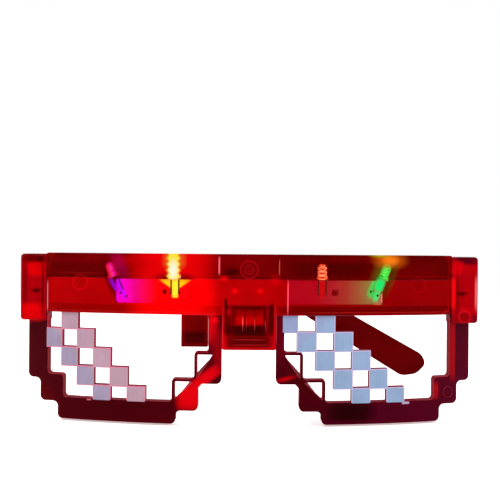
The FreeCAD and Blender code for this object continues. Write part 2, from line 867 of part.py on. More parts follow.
nodes = {
    "front_frame": front_frame(),
    "back_cover": back_cover(),
    "left_silver_squares": silver_squares(-1),
    "right_silver_squares": silver_squares(1),
    "left_circuit_board": mirrored(right_circuit_board()),
    "right_circuit_board": right_circuit_board(),
    "control_chip": control_chip(),
    "resistors": resistors(),
    "led_leads": led_leads(),
    "positive_contact": contact(1),
    "negative_contact": contact(-1),
    "battery_door": battery_door(),
    "battery_door_screw": screw(0, bridge_depth + running_gap + door_thickness - screw_head_height,
                                door_screw_z, door_screw_length),
    "cover_screws": Part.makeCompound([screw(x, cover_seat_y(x), z, screw_length)
                                       for x, z, radius in bar_boss_places()]),
    "switch_body": switch_body(),
    "switch_plunger": switch_plunger(),
    "push_button": push_button(),
    "left_temple": left_temple(),
    "right_temple": right_temple(),
    "left_hinge_pin": hinge_pin(-1),
    "right_hinge_pin": hinge_pin(1),
    "link_wires": link_wires(),
    "switch_wires": switch_wires(),
}
for name, (x, z, lean) in leds.items():
    nodes[name] = led_place(led_body(), x, z, lean)
for index, name in enumerate(("left_button_cell", "middle_button_cell", "right_button_cell")):
    nodes[name] = button_cell(index)

os.makedirs("parts", exist_ok=True)
for name, shape in nodes.items():
    shape.exportStep(f"parts/{name}.step")
    print(name, len(shape.Solids), shape.isValid(), round(shape.Volume, 2))
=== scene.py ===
import math
import bpy
from mathutils import Matrix, Vector


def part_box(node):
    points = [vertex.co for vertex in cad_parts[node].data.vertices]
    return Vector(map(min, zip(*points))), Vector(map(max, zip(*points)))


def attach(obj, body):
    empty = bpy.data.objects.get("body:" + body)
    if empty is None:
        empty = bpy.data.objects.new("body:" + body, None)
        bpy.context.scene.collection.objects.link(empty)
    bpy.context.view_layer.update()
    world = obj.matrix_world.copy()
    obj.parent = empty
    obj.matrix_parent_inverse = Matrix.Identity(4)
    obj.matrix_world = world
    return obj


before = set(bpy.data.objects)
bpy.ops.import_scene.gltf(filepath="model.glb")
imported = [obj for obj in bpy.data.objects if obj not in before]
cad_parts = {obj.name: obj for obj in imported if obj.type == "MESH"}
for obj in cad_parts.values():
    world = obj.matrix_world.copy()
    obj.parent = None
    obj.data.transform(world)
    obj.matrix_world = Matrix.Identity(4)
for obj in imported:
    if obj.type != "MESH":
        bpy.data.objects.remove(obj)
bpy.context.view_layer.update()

print("party glasses: frame loaded")

mm = 0.001
wrapRadius = 145 * mm
unlit = (0.0, 0.0, 0.0)


# Camera, world and lights

camera = {
    "distance": 420 * mm,  # from the front of the bar
    "height": 32.6 * mm,
    "side": -0.1 * mm,
    "lens": 93.0,
    "sensor": 36.0,
    "roll": 0.46,  # degrees, the pair stands a little lower on the right
    "shiftX": 0.0014,
    "shiftY": 0.0,
}


def makeCamera(c):
    data = bpy.data.cameras.new("photoCamera")
    data.lens = c["lens"]
    data.sensor_width = c["sensor"]
    data.sensor_fit = "HORIZONTAL"
    data.clip_start = 0.01
    data.shift_x = c["shiftX"]
    data.shift_y = c["shiftY"]
    cam = bpy.data.objects.new("photoCamera", data)
    cam.location = (c["side"], -c["distance"], c["height"])
    cam.rotation_euler = (math.radians(90), math.radians(-c["roll"]), 0)
    bpy.context.collection.objects.link(cam)
    bpy.context.scene.camera = cam


makeCamera(camera)
bpy.context.scene.view_settings.view_transform = "Standard"


# Node helpers

def newMaterial(name):
    mat = bpy.data.materials.new(name)
    mat.use_nodes = True
    mat.node_tree.nodes.clear()
    out = mat.node_tree.nodes.new("ShaderNodeOutputMaterial")
    return mat, mat.node_tree, out


def putValue(nt, socket, value):
    if isinstance(value, (int, float)):
        socket.default_value = value
    elif isinstance(value, tuple):
        socket.default_value = (*value, 1) if len(socket.default_value) == 4 else value
    else:
        nt.links.new(value, socket)


def mathNode(nt, operation, a, b=None):
    node = nt.nodes.new("ShaderNodeMath")
    node.operation = operation
    putValue(nt, node.inputs[0], a)
    if b is not None:
        putValue(nt, node.inputs[1], b)
    return node.outputs[0]


def product(nt, *values):
    total = values[0]
    for value in values[1:]:
        total = mathNode(nt, "MULTIPLY", total, value)
    return total


def inverse(nt, value):
    return mathNode(nt, "SUBTRACT", 1.0, value)


def mixColour(nt, factor, a, b, mode="MIX"):
    node = nt.nodes.new("ShaderNodeMix")
    node.data_type = "RGBA"
    node.blend_type = mode
    putValue(nt, node.inputs["Factor"], factor)
    putValue(nt, node.inputs[6], a)
    putValue(nt, node.inputs[7], b)
    return node.outputs[2]


def mixNumber(nt, factor, a, b):
    node = nt.nodes.new("ShaderNodeMix")
    putValue(nt, node.inputs["Factor"], factor)
    putValue(nt, node.inputs[2], a)
    putValue(nt, node.inputs[3], b)
    return node.outputs[0]


def shaded(nt, colour, value):
    # the colour times a number
    join = nt.nodes.new("ShaderNodeCombineColor")
    for i in range(3):
        nt.links.new(value, join.inputs[i])
    return mixColour(nt, 1.0, colour, join.outputs[0], "MULTIPLY")


def objectPlace(nt):
    coord = nt.nodes.new("ShaderNodeTexCoord")
    split = nt.nodes.new("ShaderNodeSeparateXYZ")
    nt.links.new(coord.outputs["Object"], split.inputs[0])
    return coord.outputs["Object"], split.outputs["X"], split.outputs["Y"], split.outputs["Z"]


def step(nt, value, low, high):
    node = nt.nodes.new("ShaderNodeMapRange")
    node.interpolation_type = "SMOOTHSTEP"
    nt.links.new(value, node.inputs["Value"])
    node.inputs["From Min"].default_value = low
    node.inputs["From Max"].default_value = high
    return node.outputs[0]


def band(nt, value, low, high, soft):
    rise = step(nt, value, low - soft, low + soft)
    fall = step(nt, value, high - soft, high + soft)
    return mathNode(nt, "SUBTRACT", rise, fall)


def sideWalls(nt):
    # 1 on walls that run front to back, 0 on faces that look forwards or backwards
    coord = nt.nodes.new("ShaderNodeTexCoord")
    split = nt.nodes.new("ShaderNodeSeparateXYZ")
    nt.links.new(coord.outputs["Normal"], split.inputs[0])
    return inverse(nt, step(nt, mathNode(nt, "ABSOLUTE", split.outputs["Y"]), 0.25, 0.6))


def wrapDepth(nt, x, y):
    # how far a place lies behind the wrapped front
    back = mathNode(nt, "SUBTRACT", y, wrapRadius)
    reach = mathNode(nt, "SQRT", mathNode(nt, "ADD", product(nt, x, x), product(nt, back, back)))
    return mathNode(nt, "SUBTRACT", wrapRadius, reach)


def turned(nt, x, z, centre, lean):
    # places across and along a line that leans from the vertical
    dx = mathNode(nt, "SUBTRACT", x, centre[0] * mm)
    dz = mathNode(nt, "SUBTRACT", z, centre[1] * mm)
    c, s = math.cos(math.radians(lean)), math.sin(math.radians(lean))
    u = mathNode(nt, "SUBTRACT", product(nt, dx, c), product(nt, dz, s))
    v = mathNode(nt, "ADD", product(nt, dx, s), product(nt, dz, c))
    return u, v


def spot(nt, place, centre, size, lean=0.0, power=2):
    # a soft patch in the front view, 1 at its middle; a higher power gives it a flatter top
    local = nt.nodes.new("ShaderNodeMapping")
    local.vector_type = "TEXTURE"
    local.inputs["Location"].default_value = (centre[0] * mm, 0, centre[1] * mm)
    local.inputs["Rotation"].default_value = (0, math.radians(lean), 0)
    local.inputs["Scale"].default_value = (size[0] * mm, 1000, size[1] * mm)
    nt.links.new(place, local.inputs["Vector"])
    vector = local.outputs[0]
    while power > 2:
        square = nt.nodes.new("ShaderNodeVectorMath")
        square.operation = "MULTIPLY"
        nt.links.new(vector, square.inputs[0])
        nt.links.new(vector, square.inputs[1])
        vector, power = square.outputs[0], power / 2
    length = nt.nodes.new("ShaderNodeVectorMath")
    length.operation = "LENGTH"
    nt.links.new(vector, length.inputs[0])
    return step(nt, length.outputs["Value"], 1.6, 0.05)


def ring(nt, place, centre, radius, width):
    local = nt.nodes.new("ShaderNodeMapping")
    local.vector_type = "TEXTURE"
    local.inputs["Location"].default_value = (centre[0] * mm, 0, centre[1] * mm)
    local.inputs["Scale"].default_value = (mm, 1000, mm)
    nt.links.new(place, local.inputs["Vector"])
    length = nt.nodes.new("ShaderNodeVectorMath")
    length.operation = "LENGTH"
    nt.links.new(local.outputs[0], length.inputs[0])
    return band(nt, length.outputs["Value"], radius - width / 2, radius + width / 2, width * 0.4)


def noise(nt, place, scale, detail=2.0, stretch=(1, 1, 1)):
    mapping = nt.nodes.new("ShaderNodeMapping")
    mapping.inputs["Scale"].default_value = stretch
    nt.links.new(place, mapping.inputs["Vector"])
    node = nt.nodes.new("ShaderNodeTexNoise")
    node.inputs["Scale"].default_value = scale
    node.inputs["Detail"].default_value = detail
    nt.links.new(mapping.outputs[0], node.inputs["Vector"])
    return node.outputs["Fac"]


def colourRamp(nt, factor, stops):
    ramp = nt.nodes.new("ShaderNodeValToRGB")
    nt.links.new(factor, ramp.inputs[0])
    elements = ramp.color_ramp.elements
    while len(elements) < len(stops):
        elements.new(0.5)
    for element, (place, colour) in zip(elements, stops):
        element.position = place
        element.color = (*colour, 1)
    return ramp.outputs[0]


def seen(red, green, blue):
    # a colour as it looks, 0 to 255, turned into light
    values = []
    for v in (red, green, blue):
        v /= 255
        values.append(v / 12.92 if v <= 0.04045 else ((v + 0.055) / 1.055) ** 2.4)
    return tuple(values)


def edgeLines(nt, radius):
    # 1 along the rounded edges of a piece, and the rounded normal itself
    bevel = nt.nodes.new("ShaderNodeBevel")
    bevel.samples = 6
    bevel.inputs["Radius"].default_value = radius
    geometry = nt.nodes.new("ShaderNodeNewGeometry")
    dot = nt.nodes.new("ShaderNodeVectorMath")
    dot.operation = "DOT_PRODUCT"
    nt.links.new(bevel.outputs[0], dot.inputs[0])
    nt.links.new(geometry.outputs["Normal"], dot.inputs[1])
    return inverse(nt, step(nt, dot.outputs["Value"], 0.80, 0.985)), bevel.outputs[0]


def bumped(nt, height, strength, distance):
    bump = nt.nodes.new("ShaderNodeBump")
    bump.inputs["Strength"].default_value = strength
    bump.inputs["Distance"].default_value = distance
    nt.links.new(height, bump.inputs["Height"])
    return bump


def addShine(nt, out, values):
    # the surface shader, with its sockets by name
    shine = nt.nodes.new("ShaderNodeBsdfPrincipled")
    for socket, value in values.items():
        putValue(nt, shine.inputs[socket], value)
    nt.links.new(shine.outputs[0], out)
    return shine


studio = {
    "worldLevel": 0.62,
    "worldColour": (1.0, 1.0, 1.0, 1.0),
    "floorLevel": -25.2 * mm,
    "floorSize": 3.0,
    "floorColour": (0.9, 0.9, 0.9, 1.0),
    "floorGlow": 0.45,
    "lamps": [  # name, place, size, power
        ("keyLamp", (-0.35, -0.55, 0.65), 0.45, 5.0),
        ("fillLamp", (0.55, -0.45, 0.35), 0.4, 2.6),
        ("backLamp", (0.1, 0.75, 0.6), 0.6, 4.0),
    ],
}


def makeWorld(s):
    world = bpy.data.worlds.new("paleStudio")
    bpy.context.scene.world = world
    world.use_nodes = True
    nt = world.node_tree
    nt.nodes.clear()
    out = nt.nodes.new("ShaderNodeOutputWorld")
    lit = nt.nodes.new("ShaderNodeBackground")
    lit.inputs["Color"].default_value = s["worldColour"]
    lit.inputs["Strength"].default_value = s["worldLevel"]
    white = nt.nodes.new("ShaderNodeBackground")
    white.inputs["Color"].default_value = (1, 1, 1, 1)
    white.inputs["Strength"].default_value = 1.0
    path = nt.nodes.new("ShaderNodeLightPath")
    direct = mathNode(nt, "MAXIMUM", path.outputs["Is Camera Ray"], path.outputs["Is Glossy Ray"])
    direct = mathNode(nt, "MAXIMUM", direct, path.outputs["Is Transmission Ray"])
    mix = nt.nodes.new("ShaderNodeMixShader")
    nt.links.new(direct, mix.inputs[0])
    nt.links.new(lit.outputs[0], mix.inputs[1])
    nt.links.new(white.outputs[0], mix.inputs[2])
    nt.links.new(mix.outputs[0], out.inputs[0])


def makeLamps(s):
    for name, place, size, power in s["lamps"]:
        data = bpy.data.lights.new(name, "AREA")
        data.shape = "DISK"
        data.size = size
        data.energy = power
        lamp = bpy.data.objects.new(name, data)
        lamp.location = place
        lamp.rotation_euler = (-Vector(place)).to_track_quat("-Z", "Y").to_euler()
        bpy.context.collection.objects.link(lamp)


def makeFloor(s):
    half, z = s["floorSize"] / 2, s["floorLevel"]
    mesh = bpy.data.meshes.new("studioFloor")
    corners = [(-half, -half, z), (half, -half, z), (half, half, z), (-half, half, z)]
    mesh.from_pydata(corners, [], [(0, 1, 2, 3)])
    floor = bpy.data.objects.new("studioFloor", mesh)
    bpy.context.collection.objects.link(floor)
    mat, nt, out = newMaterial("paleFloor")
    matte = nt.nodes.new("ShaderNodeBsdfDiffuse")
    matte.inputs["Color"].default_value = s["floorColour"]
    glow = nt.nodes.new("ShaderNodeEmission")
    glow.inputs["Color"].default_value = (1, 1, 1, 1)
    glow.inputs["Strength"].default_value = s["floorGlow"]
    add = nt.nodes.new("ShaderNodeAddShader")
    nt.links.new(matte.outputs[0], add.inputs[0])
    nt.links.new(glow.outputs[0], add.inputs[1])
    nt.links.new(add.outputs[0], out.inputs[0])
    mesh.materials.append(mat)


makeWorld(studio)
makeLamps(studio)
makeFloor(studio)
print("party glasses: camera, lights and floor made")


# Where the lamps and bosses stand, from the frame

lampLean = {"violet": -22.0, "yellow": 0.0, "orange": 0.0, "green": 21.0}


def lampPlaces():
    places = {}
    for name in lampLean:
        low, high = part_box("led_" + name)
        places[name] = ((low[0] + high[0]) / 2 / mm, (low[2] + high[2]) / 2 / mm)
    return places


def bossPlaces():
    # each screw's own middle in the front view
    points = [v.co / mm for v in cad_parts["cover_screws"].data.vertices]
    far = max(p.x for p in points)
    places = []
    for low, high in ((-far - 1, -far / 2), (-far / 2, far / 2), (far / 2, far + 1)):
        part = [p for p in points if low < p.x < high]
        xs, zs = [p.x for p in part], [p.z for p in part]
        places.append(((min(xs) + max(xs)) / 2, (min(zs) + max(zs)) / 2))
    return places


lampAt = lampPlaces()
bossAt = bossPlaces()


# Clear red plastic

redLook = {
    "roughness": 0.14,
    "gloss": 0.07,
    "glossTint": (1.0, 0.12, 0.16),
    "edge": 0.28 * mm,
    "edgeHighlight": seen(255, 84, 112),
    "barTop": (0.175, 0.0, 0.001),
    "barTopRight": (0.12, 0.0, 0.0),
    "barLow": (0.5, 0.0, 0.001),
    "barLowRight": (0.3, 0.0, 0.001),
    "barFoot": (0.36, 0.0, 0.0),
    "barFootRight": (0.17, 0.0, 0.0),
    "bridge": (0.34, 0.0, 0.002),
    "block": (0.36, 0.0, 0.003),
    "rim": (0.045, 0.0, 0.002),
    "rimRight": (0.055, 0.0, 0.007),
    "wall": (0.12, 0.0, 0.004),
    "wallRim": (0.24, 0.0, 0.004),
    "tintBar": (0.7, 0.0, 0.001),
    "tintBridge": (0.95, 0.006, 0.008),
    "tintRim": (0.2, 0.0, 0.001),
    "solidBar": 0.5,
    "solidBridge": 0.14,
    "solidBlock": 0.6,
    "solidRim": 0.85,
    "solidWall": 0.4,
    "tintWall": (0.4, 0.0, 0.01),
    "lightWall": (0.4, 0.0, 0.02),
    "solidBox": 0.8,
    "paleSquareGlow": seen(236, 128, 160),
    "paleSquareGlowRight": seen(206, 186, 226),
    "solidShade": 0.6,
    "lampTint": (0.97, 0.96, 0.96),
    "blockMark": (72.8, 10.6),
    "blockMarkColour": (0.7, 0.004, 0.014),
    "bossRingGlow": (0.6, 0.004, 0.012),
}

# where the zones of the frame begin, over a soft edge, in millimetres
frameZones = {
    "rightHalf": (4.0, 16.0),
    "bar": (10.9, 11.5),
    "panelFoot": (14.1, 14.6),
    "panelTop": (22.8, 23.2),
    "bridgeSide": (8.6, 9.0),
    "bridgeTop": (14.0, 15.2),
    "blockSide": (68.2, 68.8),
    "blockFoot": (8.0, 8.5),
    "outerRim": (60.0, 62.0),
    "wallTop": (9.0, 11.0),
    "boxSide": (7.7, 8.2),
    "boxFoot": (4.4, 5.2),
    "windowFoot": (-17.45, -17.15),
    "windowNose": (11.45, 11.75),
    "windowOuter": (68.3, 68.6),
    "squareFace": (0.45, 0.6),  # depths behind the wrapped front
    "raised": (0.78, 0.86),
}

# where the boards show clearly: left, right, foot and top
boardWindows = [(-44.3, -30.0, 14.9, 22.9), (12.9, 44.0, 14.9, 22.9)]

# where the lamps show clearly: height of the middle, half size
lampWindows = {
    "violet": (23.6, (2.3, 6.6)),
    "yellow": (19.8, (6.6, 4.6)),
    "orange": (23.6, (2.2, 6.6)),
    "green": (23.6, (2.6, 7.6)),
}

# painted glowing rings where the screw bosses show through, from the left: strength, then radius and width
# of each
bossRings = [
    (0.45, [(2.45, 0.6)]),
    (0.45, [(2.8, 0.6), (1.4, 0.5), (0.5, 0.3)]),
    (0.2, [(2.45, 0.6)]),
]

yellowGlow = {
    "middle": lampAt["yellow"][0] - 0.25,
    "halfWidth": 2.2,
    "ribPitch": 1.95,
    "ribDepth": 0.26,
    "softIn": 0.9,
    "softOut": 0.45,
    "foot": (22.3, 23.1),
    "edge": seen(255, 232, 60),
    "core": (1.0, 1.0, 0.8),
    "coreAt": (lampAt["yellow"][0] - 0.3, 25.9),
    "coreSize": (1.5, 3.1),
}

# painted light and shade patches in the front view: centre, half size, lean, power, colour, strength
framePaintedLightShade = [
    # left end block
    ((-72.6, 29.4), (4.8, 1.9), 0, 4, (0.05, 0.0, 0.0), 1.0),
    ((-71.9, 25.6), (3.4, 2.4), 0, 4, (0.68, 0.0, 0.002), 1.0),
    ((-75.9, 19.5), (0.9, 9.0), 0, 4, (0.14, 0.0, 0.002), 0.8),
    ((-72.0, 18.4), (1.9, 0.9), 0, 2, (0.05, 0.0, 0.0), 0.95),
    ((-73.4, 11.0), (3.8, 3.2), 0, 4, (0.72, 0.0, 0.002), 1.0),
    ((-69.8, 18.5), (0.35, 8.0), 0, 4, (0.1, 0.0, 0.0), 0.8),
    # right end block
    ((73.4, 29.9), (4.6, 1.9), 0, 4, (0.022, 0.0, 0.005), 1.0),
    ((70.2, 27.0), (1.9, 2.6), 20, 4, (0.62, 0.0, 0.003), 0.9),
    ((68.9, 18.6), (0.8, 5.4), 0, 8, (0.95, 0.001, 0.004), 1.0),
    ((70.4, 17.5), (0.4, 8.0), 0, 4, (0.14, 0.0, 0.0), 0.7),
    ((76.7, 18.5), (0.5, 5.4), 0, 4, (0.75, 0.13, 0.15), 1.0),
    ((71.9, 18.4), (1.9, 0.8), 0, 2, (0.04, 0.0, 0.0), 0.95),
    ((75.9, 9.8), (1.1, 1.6), 0, 4, (0.1, 0.0, 0.012), 0.9),
    ((73.0, 10.6), (3.0, 2.4), 0, 4, (0.3, 0.0, 0.003), 0.9),
    ((72.8, 10.6), (1.7, 1.7), 0, 4, (0.16, 0.0, 0.001), 0.9),
    # top band
    ((-58.5, 26.5), (12.0, 2.0), 0, 4, (0.115, 0.0, 0.0), 0.9),
    ((-49.5, 24.65), (14.0, 0.13), 0, 8, (0.3, 0.01, 0.01), 0.5),
    ((-50.0, 23.7), (19.0, 0.45), 0, 8, (0.1, 0.0, 0.0), 0.75),
    ((-36.0, 27.0), (9.0, 0.35), 0, 2, (0.2, 0.0, 0.0), 0.6),
    ((-37.0, 24.9), (9.0, 0.3), 0, 2, (0.16, 0.0, 0.0), 0.6),
    ((-13.5, 27.4), (5.0, 0.45), 0, 2, (0.16, 0.0, 0.0), 0.7),
    ((-13.0, 24.6), (6.0, 0.6), 0, 2, (0.11, 0.0, 0.0), 0.8),
    ((-5.6, 25.4), (2.6, 1.1), 0, 4, (0.03, 0.0, 0.0), 0.85),
    ((26.5, 26.3), (13.5, 2.2), 0, 8, (0.06, 0.0, 0.0), 0.7),
    ((56.5, 24.2), (12.0, 0.2), 0, 4, (0.32, 0.0, 0.0), 0.6),
    # foot of the bar
    ((-40.0, 12.1), (28.0, 0.22), 0, 8, (0.42, 0.01, 0.01), 0.6),
    ((42.0, 12.3), (25.0, 0.18), 0, 8, (0.5, 0.012, 0.012), 0.7),
    # bridge
    ((0.0, 13.45), (5.7, 0.4), 0, 8, (0.04, 0.0, 0.0), 0.85),
    ((-7.6, 15.0), (0.55, 1.9), 0, 4, (0.05, 0.0, 0.0), 0.9),
    ((-7.1, 6.5), (1.2, 2.0), 0, 4, (0.05, 0.0, 0.0), 0.9),
    ((-6.2, 9.0), (0.4, 3.4), 0, 4, (0.06, 0.0, 0.0), 0.9),
    ((-1.3, 9.6), (0.35, 2.2), 0, 4, (0.1, 0.0, 0.0), 0.9),
    ((2.5, 9.6), (0.35, 2.6), 0, 4, (0.1, 0.0, 0.0), 0.9),
    ((4.8, 9.2), (0.35, 2.8), 0, 4, (0.07, 0.0, 0.0), 0.9),
    ((7.35, 9.9), (0.8, 5.4), 0, 4, (0.012, 0.0, 0.0), 0.95),
    ((-5.9, 13.0), (0.6, 1.9), 0, 4, (0.42, 0.0, 0.012), 0.9),
    ((5.9, 12.9), (0.6, 1.9), 0, 4, (0.42, 0.0, 0.012), 0.9),
    ((0.0, 6.3), (6.9, 1.9), 0, 8, (0.02, 0.0, 0.0), 0.95),
    ((0.0, 2.7), (7.6, 1.9), 0, 8, (0.06, 0.0, 0.0), 0.95),
    ((0.0, 3.4), (5.0, 0.2), 0, 4, (0.3, 0.01, 0.01), 0.7),
    ((0.6, 1.7), (6.0, 0.18), 0, 4, (0.32, 0.01, 0.01), 0.6),
    # rims
    ((-69.2, -17.0), (5.0, 3.5), 45, 2, (0.085, 0.0, 0.0), 0.6),
    ((33.0, -20.4), (8.5, 3.6), 0, 4, (0.004, 0.0, 0.0), 0.9),
    ((17.5, -12.0), (9.0, 12.0), 0, 4, (0.034, 0.0, 0.001), 0.85),
    ((12.0, -9.4), (3.2, 0.7), -14, 2, (0.4, 0.0, 0.002), 0.9),
    ((69.2, 0.0), (1.0, 11.0), 0, 8, (0.25, 0.002, 0.004), 0.95),
    ((63.2, -14.2), (0.9, 2.9), 0, 4, (0.3, 0.002, 0.004), 0.9),
]

# painted light in the plastic: the lamps' glow, painted highlights along edges and a few painted dark
# spots, and how far each hides what is behind
frameLight = [  # centre, half size, lean, power, colour, strength, hides
    ((-25.5, 20.0), (13.5, 30.0), 0, 4, (0.92, 0.0, 0.001), 1.0, 0.45),
    ((-39.0, 28.6), (7.0, 2.0), 0, 2, (0.5, 0.0, 0.001), 0.6, 0.3),
    ((-24.6, 29.4), (3.6, 3.0), 0, 4, (0.9, 0.3, 0.03), 0.6, 0.4),
    ((44.4, 24.5), (3.1, 6.6), 21, 2, (0.05, 0.42, 0.02), 0.55, 0.0),
    ((46.6, 29.6), (4.8, 2.6), 0, 2, seen(240, 132, 20), 1.0, 0.85),
    ((43.2, 31.2), (3.0, 0.9), 0, 2, seen(190, 190, 20), 1.0, 0.8),
    ((-43.2, 27.6), (2.2, 5.0), -22, 2, (0.42, 0.0, 0.16), 0.5, 0.3),
    ((43.0, 21.3), (1.7, 2.5), 21, 4, seen(12, 238, 110), 1.0, 0.9),
    ((-44.8, 20.6), (0.8, 2.7), -33, 4, seen(140, 2, 232), 0.85, 0.65),
    ((72.8, 10.6), (1.5, 1.5), 0, 4, (0.02, 0.0, 0.0), 1.0, 0.9),
    ((-19.4, -15.6), (4.2, 4.4), 0, 4, (0.82, 0.0, 0.001), 1.0, 0.6),
    ((-14.2, -9.4), (1.9, 6.2), 53, 4, (0.86, 0.0, 0.001), 0.9, 0.6),
    ((-12.4, 6.8), (2.3, 5.0), 0, 2, (0.75, 0.0, 0.002), 0.9, 0.5),
    ((-11.5, 9.6), (1.5, 1.3), 0, 2, (1.0, 0.0, 0.004), 1.0, 0.5),
    ((-9.6, 0.6), (2.2, 6.0), 0, 4, (0.34, 0.0, 0.001), 0.7, 0.3),
    ((9.8, 5.0), (3.2, 8.0), 0, 4, (0.1, 0.0, 0.001), 0.7, 0.3),
    ((8.95, 7.0), (0.16, 5.0), 0, 8, seen(150, 52, 58), 0.8, 0.7),
    ((-8.6, 5.0), (0.16, 6.0), 0, 8, seen(150, 40, 44), 0.7, 0.6),
    ((-4.64, 19.2), (1.1, 0.9), 0, 2, (0.85, 0.002, 0.006), 0.7, 0.3),
    ((3.5, 19.2), (1.1, 0.9), 0, 2, (0.75, 0.002, 0.006), 0.7, 0.3),
    ((-8.3, 23.3), (1.5, 0.9), 0, 2, (0.95, 0.002, 0.004), 0.8, 0.4),
    ((8.5, 22.9), (1.6, 1.8), 0, 2, (0.5, 0.0, 0.0), 0.6, 0.3),
    ((-68.2, 16.6), (0.22, 5.2), 0, 8, seen(255, 128, 140), 0.9, 0.8),
    ((-68.2, 8.0), (0.2, 3.4), 0, 8, seen(214, 60, 76), 0.7, 0.7),
    ((-9.82, 27.4), (0.3, 3.0), 0, 8, seen(255, 110, 128), 0.95, 0.8),
    ((9.8, 27.0), (0.16, 2.5), 0, 8, seen(226, 110, 96), 0.8, 0.7),
    ((12.62, 17.2), (0.26, 5.6), 0.3, 8, seen(240, 96, 120), 0.9, 0.8),
    ((43.75, 16.9), (0.22, 1.7), 0, 8, seen(232, 140, 120), 0.8, 0.8),
    ((42.4, 15.0), (1.6, 0.16), 0, 4, seen(220, 150, 90), 0.7, 0.7),
    ((-13.55, 4.0), (0.18, 5.0), 0, 8, seen(240, 90, 90), 0.6, 0.5),
    ((52.4, -17.9), (1.3, 0.4), 0, 8, seen(206, 190, 222), 0.9, 0.9),
    ((-53.2, -17.7), (0.8, 0.25), 0, 8, seen(226, 120, 140), 0.8, 0.9),
    ((-2.05, 9.1), (0.17, 1.9), 0, 2, seen(255, 104, 84), 1.0, 0.9),
    ((-2.05, 6.9), (0.14, 1.0), 0, 2, seen(150, 60, 54), 0.8, 0.8),
    ((-0.85, 8.8), (0.13, 1.6), 0, 2, seen(180, 60, 64), 0.9, 0.8),
    ((1.85, 8.6), (0.15, 2.0), 0, 2, seen(190, 70, 70), 0.9, 0.8),
    ((5.35, 8.0), (0.15, 2.4), -8, 2, seen(180, 44, 54), 0.9, 0.8),
    ((-6.7, 12.2), (0.3, 1.2), 0, 4, seen(186, 20, 36), 0.8, 0.6),
]


def plasticBase(name):
    r = redLook
    mat, nt, out = newMaterial(name)
    place, x, y, z = objectPlace(nt)
    walls = sideWalls(nt)
    lines, rounded = edgeLines(nt, r["edge"])
    flow = noise(nt, place, 55.0, 3.0, (1, 1, 2.2))
    bump = bumped(nt, flow, 0.06, 0.2 * mm)
    nt.links.new(rounded, bump.inputs["Normal"])
    clear = nt.nodes.new("ShaderNodeBsdfTransparent")
    mix = nt.nodes.new("ShaderNodeMixShader")
    nt.links.new(clear.outputs[0], mix.inputs[1])
    nt.links.new(mix.outputs[0], out.inputs[0])
    shine = addShine(nt, mix.inputs[2], {
        "IOR": 1.5,
        "Specular Tint": r["glossTint"],
        "Specular IOR Level": r["gloss"],
        "Roughness": mixNumber(nt, walls, r["roughness"], 0.6),
        "Normal": bump.outputs[0],
    })
    parts = {"x": x, "y": y, "z": z, "place": place, "shine": shine, "clear": clear,
             "mix": mix, "lines": lines, "flow": flow, "walls": walls}
    return mat, nt, parts


def boxMask(nt, x, z, low, high, foot, top):
    # a box with soft edges in the front view
    soft = 0.25 * mm
    return product(nt, band(nt, x, low * mm, high * mm, soft), band(nt, z, foot * mm, top * mm, soft))


def yellowShape(nt, x, z, y):
    # the ribbed outline of the yellow light
    ribs = mathNode(nt, "SINE", product(nt, z, 2 * math.pi / (y["ribPitch"] * mm)))
    half = mathNode(nt, "ADD", product(nt, ribs, y["ribDepth"] * mm), y["halfWidth"] * mm)
    off = mathNode(nt, "ABSOLUTE", mathNode(nt, "SUBTRACT", x, y["middle"] * mm))
    past = mathNode(nt, "SUBTRACT", off, half)
    wide = inverse(nt, step(nt, past, -y["softIn"] * mm, y["softOut"] * mm))
    return product(nt, wide, step(nt, z, y["foot"][0] * mm, y["foot"][1] * mm))


def rise(nt, value, zone):
    # 0 before the zone begins, 1 in it
    low, high = frameZones[zone]
    return step(nt, value, low * mm, high * mm)


def fall(nt, value, zone):
    return inverse(nt, rise(nt, value, zone))


def frameMasks(nt, part):
    # 1 in each zone of the frame, 0 outside
    x, z, walls = part["x"], part["z"], part["walls"]
    reach = mathNode(nt, "ABSOLUTE", x)
    depth = wrapDepth(nt, x, part["y"])
    bar = rise(nt, z, "bar")
    bridge = product(nt, fall(nt, reach, "bridgeSide"), fall(nt, z, "bridgeTop"))
    box = mathNode(nt, "MAXIMUM", rise(nt, reach, "boxSide"), fall(nt, z, "boxFoot"))
    boxShade = spot(nt, part["place"], (0.0, 6.4), (6.8, 1.9), 0, 8)

    # the raised squares, and what is left of the edge lines where these run over a rim
    rim = mathNode(nt, "MAXIMUM", fall(nt, z, "windowFoot"), fall(nt, reach, "windowNose"))
    rim = mathNode(nt, "MAXIMUM", rim, rise(nt, reach, "windowOuter"))
    squares = product(nt, fall(nt, depth, "squareFace"), inverse(nt, rim), inverse(nt, bar))
    squares = product(nt, squares, inverse(nt, bridge), inverse(nt, walls))
    overRim = product(nt, rim, inverse(nt, bar), fall(nt, depth, "raised"))
    edges = product(nt, part["lines"], mixNumber(nt, bar, 1.0, 0.25))
    edges = product(nt, edges, inverse(nt, product(nt, bridge, 0.8)), inverse(nt, overRim))
    return {
        "right": rise(nt, x, "rightHalf"),
        "bar": bar,
        "bridge": bridge,
        "block": product(nt, rise(nt, reach, "blockSide"), rise(nt, z, "blockFoot")),
        "outerRim": rise(nt, reach, "outerRim"),
        "rimWalls": product(nt, walls, fall(nt, z, "wallTop")),
        "box": product(nt, bridge, box),
        "boxShade": product(nt, bridge, boxShade),
        "squares": squares,
        "edges": edges,
    }


